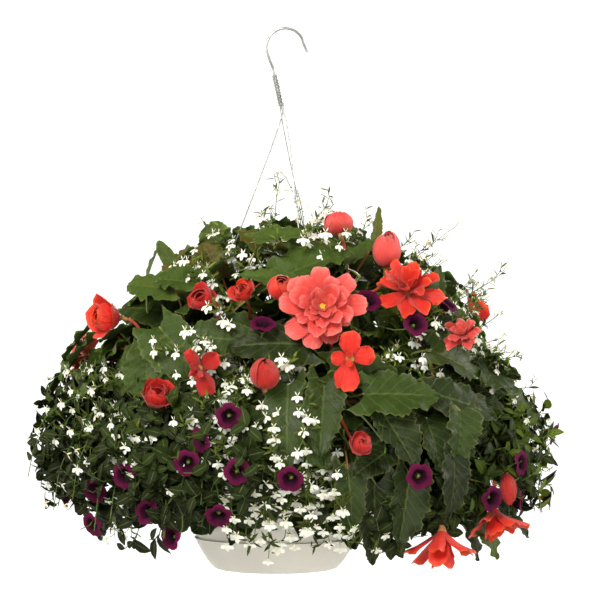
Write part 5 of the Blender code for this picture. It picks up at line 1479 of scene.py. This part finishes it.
def add_floret(plant, place, root, draw):
    """A lobelia flower on its thread-like stalk, left out where another one already is."""
    cell = tuple(round(c / FLORET_ROOM) for c in place.translation)
    hides = plant.faces.find(place.translation)[2] < FLORET_CLEARANCE
    if cell in plant.taken or hides or shaded(place.translation):
        return
    plant.taken.add(cell)
    size = FLORET_SIZE * draw.uniform(0.62, 0.86)
    plant.thin.add(FLORET, placed(FLORET.points * size, place), draw.random(), slot=1)
    neck = place @ Vector((0, 0, -FLORET_TUBE * size))
    plant.stalks.add_tube([neck, (neck + root) / 2 - UP, root], *FLORET_THREAD, 0.5, sides=3, steps=1)


def add_trumpet(plant, centre, facing, path, draw):
    """A calibrachoa flower with its calyx and stalk."""
    upward = facing.orthogonal().normalized()
    place = axes_at(upward.cross(facing), upward, facing, centre)
    turn = Matrix.Rotation(draw.uniform(0, 6.28), 4, "Z")
    plant.thin.add(TRUMPET, placed(TRUMPET.points, place @ turn), draw.random(), slot=1)
    mouth = centre - facing * (0.72 * TRUMPET_DEPTH)
    calyx_top = centre - facing * (0.45 * TRUMPET_DEPTH)
    plant.stalks.add_tube([calyx_top, mouth], *CALYX, 0.7, sides=7, steps=1)
    plant.stalks.add_tube([mouth] + path, *TRUMPET_STALK, 0.6, sides=5, steps=2)


def walk(path, spacing, first_share, last_share=1.0):
    """Places along a stem at an even spacing, with the way it runs there."""
    route = smooth_route(path, 4)
    steps = np.linalg.norm(np.diff(route, axis=0), axis=1)
    reach = np.concatenate([[0], np.cumsum(steps)])
    distance = reach[-1] * first_share
    while distance < reach[-1] * last_share:
        i = min(int(np.searchsorted(reach, distance, side="right")) - 1, len(steps) - 1)
        share = (distance - reach[i]) / steps[i]
        spot = Vector(route[i] + (route[i + 1] - route[i]) * share)
        yield spot, Vector((route[i + 1] - route[i]) / steps[i]), distance / reach[-1]
        distance += spacing


def around(forward, angle):
    """A direction square to a stem, at an angle about it."""
    across = forward.orthogonal().normalized()
    return across * math.cos(angle) + forward.cross(across) * math.sin(angle)


def spiral_leaves(plant, path, draw, kind, spacing, first_share, lengths):
    """Small leaves spiralling along a shoot, smaller towards its tip."""
    angle = draw.uniform(0, 6.28)
    for spot, forward, share in walk(path, spacing, first_share):
        angle += SPIRAL_TURN
        along = shaken(around(forward, angle) * 0.9 + forward * 0.45 + UP * 0.15, draw, 0.3)
        length = draw.uniform(*lengths) * (1.15 - 0.55 * share)
        place = blade_place(along, shaken(forward * 0.5 + outward_at(spot), draw, 0.35), spot)
        add_small_leaf(plant, place, length, kind, draw.random())


def twigs(path, draw, spacing, first_share, lengths):
    """Short side shoots that turn outward and up from a shoot."""
    for spot, forward, share in walk(path, spacing, first_share, 0.99):
        away = shaken(outward_at(spot) * 0.9 + forward * 0.4 + UP * 0.3, draw, 0.6)
        length = draw.uniform(*lengths)
        if straying(spot + away * (length + 12)):
            length *= 0.5
        if straying(spot + away * (length + 8)):
            continue
        yield [spot, spot + (forward * 0.4 + away * 0.6).normalized() * (0.5 * length), spot + away * length]


def dress_calibrachoa(plant, path, draw):
    """Leaves along a shoot, and leafy side shoots that make it bushy."""
    spiral_leaves(plant, path, draw, "oval", 8.5, 0.3, (22, 31))
    for twig in twigs(path, draw, draw.uniform(22, 30), 0.36, (20, 38)):
        plant.stalks.add_tube(twig, *CALIBRACHOA_TWIG, 0.5, sides=4, steps=1)
        spiral_leaves(plant, twig, draw, "oval", 4.4, 0.2, (18, 27))


def dress_lobelia(plant, path, draw):
    """Florets on the outer part of a stem, with narrow leaves between them."""
    spacing = FLORET_SPACING[plant.node]
    angle = draw.uniform(0, 6.28)
    spiral_leaves(plant, path, draw, "narrow", 8.0, 0.25, (13, 20))
    for twig in twigs(path, draw, draw.uniform(30, 45), 0.35, (18, 34)):
        plant.stalks.add_tube(twig, *LOBELIA_TWIG, 0.5, sides=3, steps=1)
        spiral_leaves(plant, twig, draw, "narrow", 5.0, 0.2, (10, 16))
    bare = 0.16 if plant.node == "lobelia_front" else 0.0
    for spot, forward, share in walk(path, spacing, draw.uniform(0.36, 0.5) + bare):
        angle += SPIRAL_TURN
        away = outward_at(spot)
        stalk = shaken(around(forward, angle) * 0.6 + forward * 0.5 + away * 0.9, draw, 0.3)
        centre = spot + stalk * draw.uniform(8, 17)
        facing = shaken(stalk + away + UP * 0.15, draw, 0.45)
        add_floret(plant, flower_place(facing, centre), spot, draw)


def dress_spire(plant, path, draw):
    """Scattered florets and a few scale-like leaves on a stem that stands free."""
    spiral_leaves(plant, path, draw, "narrow", 13.0, 0.35, (6, 11))
    for spot, forward, share in walk(path, 17.0, 0.4):
        stalk = shaken(around(forward, draw.uniform(0, 6.28)) * 0.9 + forward * 0.5, draw, 0.2)
        centre = spot + stalk * draw.uniform(7, 14)
        facing = shaken(stalk + Vector((0, -0.6, 0.2)), draw, 0.4)
        add_floret(plant, flower_place(facing, centre), spot, draw)


def inside_bush(azimuth, distance, height, margin):
    """A place on the plants, drawn in if it stands out of the bush's outline by more than a margin."""
    spot = polar(azimuth, distance, height)
    flat = Vector((spot.x - BUSH_CENTRE.x, spot.y, 0))
    limit = bush_distance(height) + margin
    if flat.length > limit:
        flat = flat.normalized() * limit
    return BUSH_CENTRE + flat + UP * height


def companion(root_azimuth, root_distance, end, margin, draw):
    """A further shoot beside a packed one, from the same foot."""
    azimuth, distance, height = end
    azimuth += draw.uniform(-11, 11)
    height = max(52.0, height + draw.uniform(-26, 26))
    distance += draw.uniform(-34, 4)
    base = soil_height(root_distance) + draw.uniform(2, 15)
    start = polar(root_azimuth, root_distance, base)
    tip = inside_bush(azimuth, distance, height, margin)
    return arching_route(start, root_azimuth, root_distance, math.degrees(math.atan2(tip.y, tip.x)),
                         math.hypot(tip.x, tip.y), height, draw.uniform(-10, 10))


def nearest_on_stems(layout, prefix, target):
    """The point of one kind of plant's stems that lies handiest for a target."""
    best = None
    for stem in layout.stems:
        if stem.node.startswith(prefix):
            for spot in stem.path[FIRST_WALL:]:
                cost = (spot - target).length + 0.4 * max(0.0, spot.z - target.z)
                if best is None or cost < best[0]:
                    best = (cost, stem.node, spot)
    return best[1], best[2]


def stalk_path(root, target, arrival):
    """A stalk between a stem and what it carries, from the target back to the stem."""
    span = (target - root).length
    leave = root + (target - root).normalized() * (0.3 * span) + UP * (0.12 * span)
    return bezier(root, leave, target - arrival * (0.3 * span), target, 4)[::-1]


def clear_of_blooms(layout, spot, margin):
    """True where a leaf wouldn't cut through a bloom, or stand before it."""
    for kind, colour, size, origin, facing, turn in layout.blooms.values():
        for ahead in (8, 30):
            if (origin + facing * ahead - spot).length < margin + 24 * size:
                return False
    return True


def add_extra_leaves(layout, plants):
    """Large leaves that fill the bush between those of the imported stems, first outside, then within."""
    for number, (base, tip, width) in enumerate(CROWN_LEAVES):
        base, tip = Vector(base), Vector(tip)
        normal = outward_at((base + tip) / 2) + UP * 0.25
        leaf = LargeLeaf(base, tip, width, normal, CROWN_SEED + number)
        node, spot = nearest_on_stems(layout, "begonia", base)
        layout.leaves.append((node, leaf))
        add_large_leaf(plants[node], leaf, stalk_path(spot, base, leaf.arrival()), FRONT_LEAF)
    taken = [leaf.place @ Vector((0.5 * leaf.length, 0, 0)) for node, leaf in layout.leaves]
    for number in range(EXTRA_LEAVES):
        draw = random.Random(FILLING_SEED + number)
        outside = number % 3 == 0
        azimuth = 360 * ((number * GOLDEN_SHARE) % 1)
        height = 45 + 345 * ((number * HEIGHT_SHARE) % 1)
        reach = bush_distance(height) * (draw.uniform(0.82, 0.98) if outside else draw.uniform(0.42, 0.82))
        length = draw.uniform(48, 84)
        tip = BUSH_CENTRE + polar(azimuth, reach, height)
        trailing = tip.y < 0 and tip.x < -15 and height < 190
        if outside and trailing:
            continue
        swing = direction(azimuth + draw.uniform(-65, 65), -38 + 0.22 * (height - 60))
        base = tip - swing * length
        middle = (base + tip) / 2
        margin = 10 if outside else -4
        if not clear_of_blooms(layout, middle, margin) or not clear_of_blooms(layout, tip, margin - 6):
            continue
        if any((middle - other).length < LEAF_SPACING for other in taken):
            continue
        taken.append(middle)
        width = draw.uniform(0.62, 0.74) * length
        normal = shaken(outward_at(middle) + UP * 0.3, draw, 0.35)
        leaf = LargeLeaf(base, tip, width, normal, FILLING_SEED + number)
        node, spot = nearest_on_stems(layout, "begonia", base)
        blade = OUTER_LEAF if outside else INNER_LEAF
        add_large_leaf(plants[node], leaf, stalk_path(spot, base, leaf.arrival()), blade)


def grow_plants(layout):
    """Every plant's fine piece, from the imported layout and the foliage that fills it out."""
    faces = flower_faces(layout)
    plants = {}
    for stem in layout.stems:
        plants.setdefault(stem.node, Plant(stem.node, faces))
        sides = 10 if stem.node.startswith("begonia") else 6
        tip_radius = TIP_TAPER * stem.end_radius
        plants[stem.node].stalks.add_tube(stem.path, stem.start_radius, tip_radius, 0.4, sides, steps=4)
    for node, foot in layout.feet.items():
        plants[node].stalks.add_tube(foot.path, foot.start_radius, foot.end_radius, 0.4, sides=8, steps=1)
    for node, path in layout.stalks:
        plants[node].stalks.add_tube(path, *BLOOM_STALK_RADII, 0.9, sides=8, steps=4, slot=1)
    for node, leaf in layout.leaves:
        add_large_leaf(plants[node], leaf, leaf.route, FRONT_LEAF)
    for number, (node, centre, facing, path) in enumerate(layout.trumpets):
        add_trumpet(plants[node], centre, facing, path, random.Random(TRUMPET_SEED + number))
    for number, centre in enumerate(layout.bare_trumpets):
        draw = random.Random(BARE_TRUMPET_SEED + number)
        facing = shaken(outward_at(centre), draw, 0.4)
        neck = centre - facing * TRUMPET_DEPTH
        node, spot = nearest_on_stems(layout, "calibrachoa", neck)
        add_trumpet(plants[node], centre, facing, stalk_path(spot, neck, facing), draw)
    for number, (node, place, length) in enumerate(layout.small_leaves):
        kind = "oval" if node.startswith("calibrachoa") else "narrow"
        add_small_leaf(plants[node], place, length, kind, random.Random(SMALL_LEAF_SEED + number).random())
    add_extra_leaves(layout, plants)
    for name, ((azimuth, distance), ends) in CALIBRACHOA.items():
        fill_shoots(layout, plants["calibrachoa_" + name], azimuth, distance, ends, dress_calibrachoa, 0.9)
    for name, ((azimuth, distance), ends) in LOBELIA.items():
        fill_shoots(layout, plants["lobelia_" + name], azimuth, distance, ends, dress_lobelia, 0.7)
    return plants


def fill_shoots(layout, plant, azimuth, distance, ends, dress, radius):
    """Dresses a plant's packed shoots, and the further ones that fill it out."""
    for stem in layout.stems:
        if stem.node == plant.node:
            dress(plant, stem.path, random.Random(stem.node + str(len(plant.stalks.points))))
    for number, end in enumerate(ends + MORE_ENDS.get(plant.node, [])):
        margin = 0 if number < len(ends) else 12
        beside = 0 if end[1] < 100 else COMPANIONS.get(plant.node, USUAL_COMPANIONS)
        for k in range(beside):
            draw = random.Random(plant.node + str(10 * number + k))
            path = companion(azimuth, distance, end, margin, draw)
            plant.stalks.add_tube(path, radius, 0.6 * radius, 0.5, sides=4, steps=2)
            dress(plant, path, draw)
    if plant.node == "lobelia_top":
        for number, (low, high, tip) in enumerate(SPIRES):
            start = polar(azimuth, distance, soil_height(distance) + 8)
            path = bezier(start, Vector(low), Vector(high), Vector(tip), 8)
            plant.stalks.add_tube(path, *SPIRE_STEM, 0.6, sides=5, steps=2)
            dress_spire(plant, path, random.Random(SPIRE_SEED + number))


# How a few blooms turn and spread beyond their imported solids: facing azimuth and elevation, scale
BLOOM_POSE = {
    "bloom_coral_half": ((110, 64), 1.0),
    "bloom_coral_side": ((-80, 78), 1.0),
    "bloom_orange_fan": ((-84, 52), 1.04),
    "bloom_red_left": ((-150, 4), 1.05),
    "bloom_red_cup": ((-70, 40), 1.0),
    "bloom_red_tall": ((-110, 30), 1.05),
    "bloom_orange_behind": ((-80, 50), 1.0),
    "bloom_coral_small": ((-112, 34), 0.72),
    "bud_red": ((-88, 60), 1.0),
    "bud_red_double": ((-80, 20), 1.28),
    "bloom_orange_side": ((-62, -62), 1.22),
    "bloom_orange_bell": ((-92, -80), 1.12),
}


def bloom_piece(name, kind, colour, size, origin, facing, turn):
    """A bloom: its petals, the stamens of a double one, and the swollen end of its stalk."""
    stub = origin - facing * BLOOM_STUB
    if name in BLOOM_POSE:
        facing = direction(*BLOOM_POSE[name][0])
        size = size * BLOOM_POSE[name][1]
    kind = FINE_KINDS.get(name, kind)
    petals = bloom_sheaf(kind, size, origin, facing, turn, name).made(name + "_petals", [PETALS[colour]])
    base = Sheaf()
    path = [origin + facing * 2, origin - facing * 2, origin - facing * 5, stub]
    base.add_tube(path, 4.6 * size, BLOOM_STALK, 0.5, sides=12, steps=3)
    if kind == "double":
        draw = random.Random(name + "eye")
        for k in range(12):
            out = around(facing, SPIRAL_TURN * k) * (0.35 * k ** 0.5)
            foot = origin + facing * (LAYER_STEP * 2) + out * 1.2
            tip = foot + facing * draw.uniform(4, 6) * size + out
            base.add_tube([foot, tip], *STAMEN, 0.5, sides=6, steps=1, slot=1)
    return joined([petals, base.made(name + "_base", [FLOWER_STALK, POLLEN])], name + "_grown")


# Pot, saucer, soil and wires
def turned_piece(name, profile, segments, finish, closed=True):
    """A piece of revolution: a ring that is raised and widened along the profile, from its foot."""
    clear_selection()
    radius, height = profile[0]
    bpy.ops.mesh.primitive_circle_add(vertices=segments, radius=radius * MM, location=(0, 0, height * MM),
                                      fill_type="NGON" if closed else "NOTHING")
    piece = bpy.context.object
    bpy.ops.object.transform_apply(location=True, rotation=False, scale=False)
    bpy.ops.object.mode_set(mode="EDIT")
    for next_radius, next_height in profile[1:]:
        rise = (0, 0, (next_height - height) * MM)
        if closed:
            bpy.ops.mesh.extrude_region_move(TRANSFORM_OT_translate={"value": rise})
        else:
            bpy.ops.mesh.extrude_edges_move(TRANSFORM_OT_translate={"value": rise})
        share = next_radius / radius
        bpy.ops.transform.resize(value=(share, share, 1), center_override=(0, 0, next_height * MM))
        radius, height = next_radius, next_height
    bpy.ops.mesh.select_all(action="SELECT")
    bpy.ops.mesh.normals_make_consistent(inside=False)
    bpy.ops.object.mode_set(mode="OBJECT")
    piece.name = name
    piece.data.name = name
    piece.data.materials.append(finish)
    bpy.ops.object.shade_smooth_by_angle(angle=TURNED_CREASE)
    return piece


def spread(low, high, count):
    """Even steps from one value to another, both included."""
    return [low + (high - low) * k / count for k in range(count + 1)]


def saucer_piece():
    """The clip-on saucer with its rounded lip."""
    outer = [(SAUCER_BASE_RADIUS - 3, 0), (SAUCER_BASE_RADIUS - 0.6, 0.4)]
    heights = spread(0.04 * SAUCER_HEIGHT, SAUCER_HEIGHT - 1.2, 14)
    outer += [(saucer_radius(z), z) for z in heights]
    lip = [(SAUCER_LIP_RADIUS + 0.2, SAUCER_HEIGHT - 0.5), (SAUCER_LIP_RADIUS - 0.3, SAUCER_HEIGHT),
           (SAUCER_LIP_RADIUS - 1.3, SAUCER_HEIGHT), (SAUCER_LIP_RADIUS - 1.8, SAUCER_HEIGHT - 0.5)]
    inner = [(saucer_radius(z) - SAUCER_WALL, z) for z in heights[:1:-1]]
    inner += [(SAUCER_BASE_RADIUS, SAUCER_WALL + 1.5), (SAUCER_BASE_RADIUS - 2, SAUCER_WALL)]
    return turned_piece("saucer_moulded", outer + lip + inner, 128, POT_PLASTIC)


def pot_piece():
    """The tapered tub with its rolled rim."""
    outer = [(POT_FOOT_RADIUS - 2, POT_FOOT), (POT_FOOT_RADIUS + 1, POT_FOOT + 0.6)]
    outer += [(pot_radius(z), z) for z in spread(4.5, SAUCER_HEIGHT, 8)]
    rim_low = POT_HEIGHT - RIM_DEPTH
    outer += [(pot_radius(z), z) for z in spread(SAUCER_HEIGHT + 14, rim_low, 8)]
    middle = POT_RIM_RADIUS + 1.0
    for k in range(9):
        angle = math.radians(-75 + 165 * k / 8)
        outer.append((middle + 3.0 * math.cos(angle), rim_low + 2.6 + 2.4 * math.sin(angle)))
    inner = [(POT_RIM_RADIUS - 0.6, POT_HEIGHT - 0.2), (POT_RIM_RADIUS - POT_WALL, POT_HEIGHT - 1.6)]
    inner += [(pot_radius(z) - POT_WALL, z) for z in spread(6.0, SAUCER_HEIGHT, 6)[::-1]]
    inner += [(POT_FOOT_RADIUS - 1, POT_FLOOR)]
    return turned_piece("pot_moulded", outer + inner, 160, POT_PLASTIC)


def soil_piece():
    """Moist compost with a crumbly, mounded top."""
    inset = POT_WALL + CONTACT_GAP
    side = [(POT_FOOT_RADIUS - 2, POT_FLOOR + CONTACT_GAP)]
    side += [(pot_radius(z) - inset, z) for z in POT_STEPS + [SOIL_EDGE]]
    edge = side[-1][0]
    shares = (0.94, 0.86, 0.78, 0.7, 0.6, 0.5, 0.4, 0.3, 0.2, 0.1)
    top = [(edge * share, soil_height(edge * share)) for share in shares]
    soil = turned_piece("soil_crumbly", side + top, 72, PEAT)
    draw = random.Random(SOIL_SEED)
    for vertex in soil.data.vertices:
        if vertex.co.z > (SOIL_EDGE + 0.5) * MM:
            vertex.co.z += draw.uniform(-0.9, 1.3) * MM
    return soil


def wire_piece(name, path, radius, sides, steps):
    """A bent wire, round and of one thickness."""
    sheaf = Sheaf()
    sheaf.add_tube(path, radius, radius, 0.5, sides, steps)
    return joined([sheaf.made(name, [STEEL])], name)


# Blades and small shapes that are copied, the finest for what shows most
FRONT_LEAF = Blade(34, 8)
OUTER_LEAF = Blade(28, 6)
INNER_LEAF = Blade(12, 4)
PETAL = Blade(10, 8)
SMALL_LEAVES = {"oval": small_leaf_shape(4, 0.6, 0.5), "narrow": small_leaf_shape(3, 0.24, 0.4)}
TRUMPET = trumpet_shape()
FLORET = floret_shape()


def keep(piece, slot, *nodes):
    """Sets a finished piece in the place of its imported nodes."""
    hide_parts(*nodes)
    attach(piece, "root")


def build_object():
    """Every piece, from the saucer up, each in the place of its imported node."""
    layout = Layout()
    keep(saucer_piece(), "pot", "saucer")
    keep(pot_piece(), "pot", "pot")
    keep(soil_piece(), "soil", "soil")
    keep(wire_piece("hook_wire", hook_path(), HOOK_WIRE, 16, 6), "steel", "hook")
    for number, (name, (azimuth, kink)) in enumerate(HANGERS.items()):
        path = hanger_path(180 + 120 * number, azimuth, kink)
        keep(wire_piece("hanger_wire_" + name, path, HANGER_WIRE, 8, 3), "steel", "hanger_" + name)
    for node, plant in grow_plants(layout).items():
        kind = node.split("_")[0]
        keep(plant.made(*PLANT_FINISHES[kind]), kind, node)
    for name, bloom in layout.blooms.items():
        keep(bloom_piece(name, *bloom), bloom[1], name)


# Studio: the cove's profile, its glow, the light all round, and the lamps' places and sizes in metres, watts
COVE_PROFILE = [(10, -450), (20000, -450), (26000, -250), (29000, 1050), (30000, 4550), (30000, 29550)]
COVE_GLOW = 0.95
WORLD_LIGHT = 0.13
LAMP_COLOUR = (1.0, 0.965, 0.87)
LAMP_AIM = Vector((0.02, 0, 0.28))
LAMPS = {
    "key": ((-0.9, -2.3, 1.7), 1.1, 92),
    "fill": ((1.2, -2.6, 0.0), 1.2, 40),
    "left": ((-2.5, 0.5, 0.9), 1.2, 38),
    "right": ((2.5, 0.6, 1.1), 1.2, 46),
    "back": ((0.3, 2.6, 1.4), 1.2, 86),
}
# The camera's place in metres, and its lens and sensor in millimetres
CAMERA_PLACE = (0.027, -2.8, 0.30)
CAMERA_LENS = 150
CAMERA_SENSOR = 36


def build_stage():
    """A round studio cove, pale all over, with its floor well below the hanging pot."""
    cove, tree, shader = new_finish("painted_cove", 0.9)
    place = add_node(tree, "TexCoord").outputs["Object"]
    cloud = add_node(tree, "TexNoise", {"Vector": place, "Scale": grain(667), "Detail": 2.0})
    tint = add_node(tree, "ValToRGB", [cloud], [(0.0, "#8C8C8A"), (1.0, "#929290")])
    glow = {"Emission Color": (1, 1, 1, 1), "Emission Strength": COVE_GLOW}
    fill_inputs(tree, shader, {"Base Color": tint, **glow})
    piece = turned_piece("studio_floor", COVE_PROFILE, 96, cove, closed=False)
    piece.data.flip_normals()
    own = bpy.data.collections.new("cove_only")
    own.objects.link(piece)
    piece.light_linking.receiver_collection = own
    world = bpy.context.scene.world or bpy.data.worlds.new("studio")
    bpy.context.scene.world = world
    world.use_nodes = True
    background = world.node_tree.nodes["Background"]
    fill_inputs(world.node_tree, background, {"Color": (1, 1, 1, 1), "Strength": WORLD_LIGHT})
    for name, (spot, size, power) in LAMPS.items():
        light = bpy.data.lights.new(name, "AREA")
        light.size = size
        light.color = LAMP_COLOUR
        light.energy = power
        lamp = bpy.data.objects.new(name, light)
        bpy.context.scene.collection.objects.link(lamp)
        lamp.location = spot
        lamp.rotation_euler = (LAMP_AIM - Vector(spot)).to_track_quat("-Z", "Y").to_euler()


def place_camera():
    """Level with the middle of the basket, straight in front, with a long lens."""
    lens = bpy.data.cameras.new("camera")
    lens.lens = CAMERA_LENS
    lens.sensor_width = CAMERA_SENSOR
    camera = bpy.data.objects.new("camera", lens)
    bpy.context.scene.collection.objects.link(camera)
    camera.location = CAMERA_PLACE
    camera.rotation_euler = (math.radians(90), 0, 0)
    bpy.context.scene.camera = camera
    bpy.context.scene.view_settings.view_transform = "Standard"


build_object()
build_stage()
place_camera()
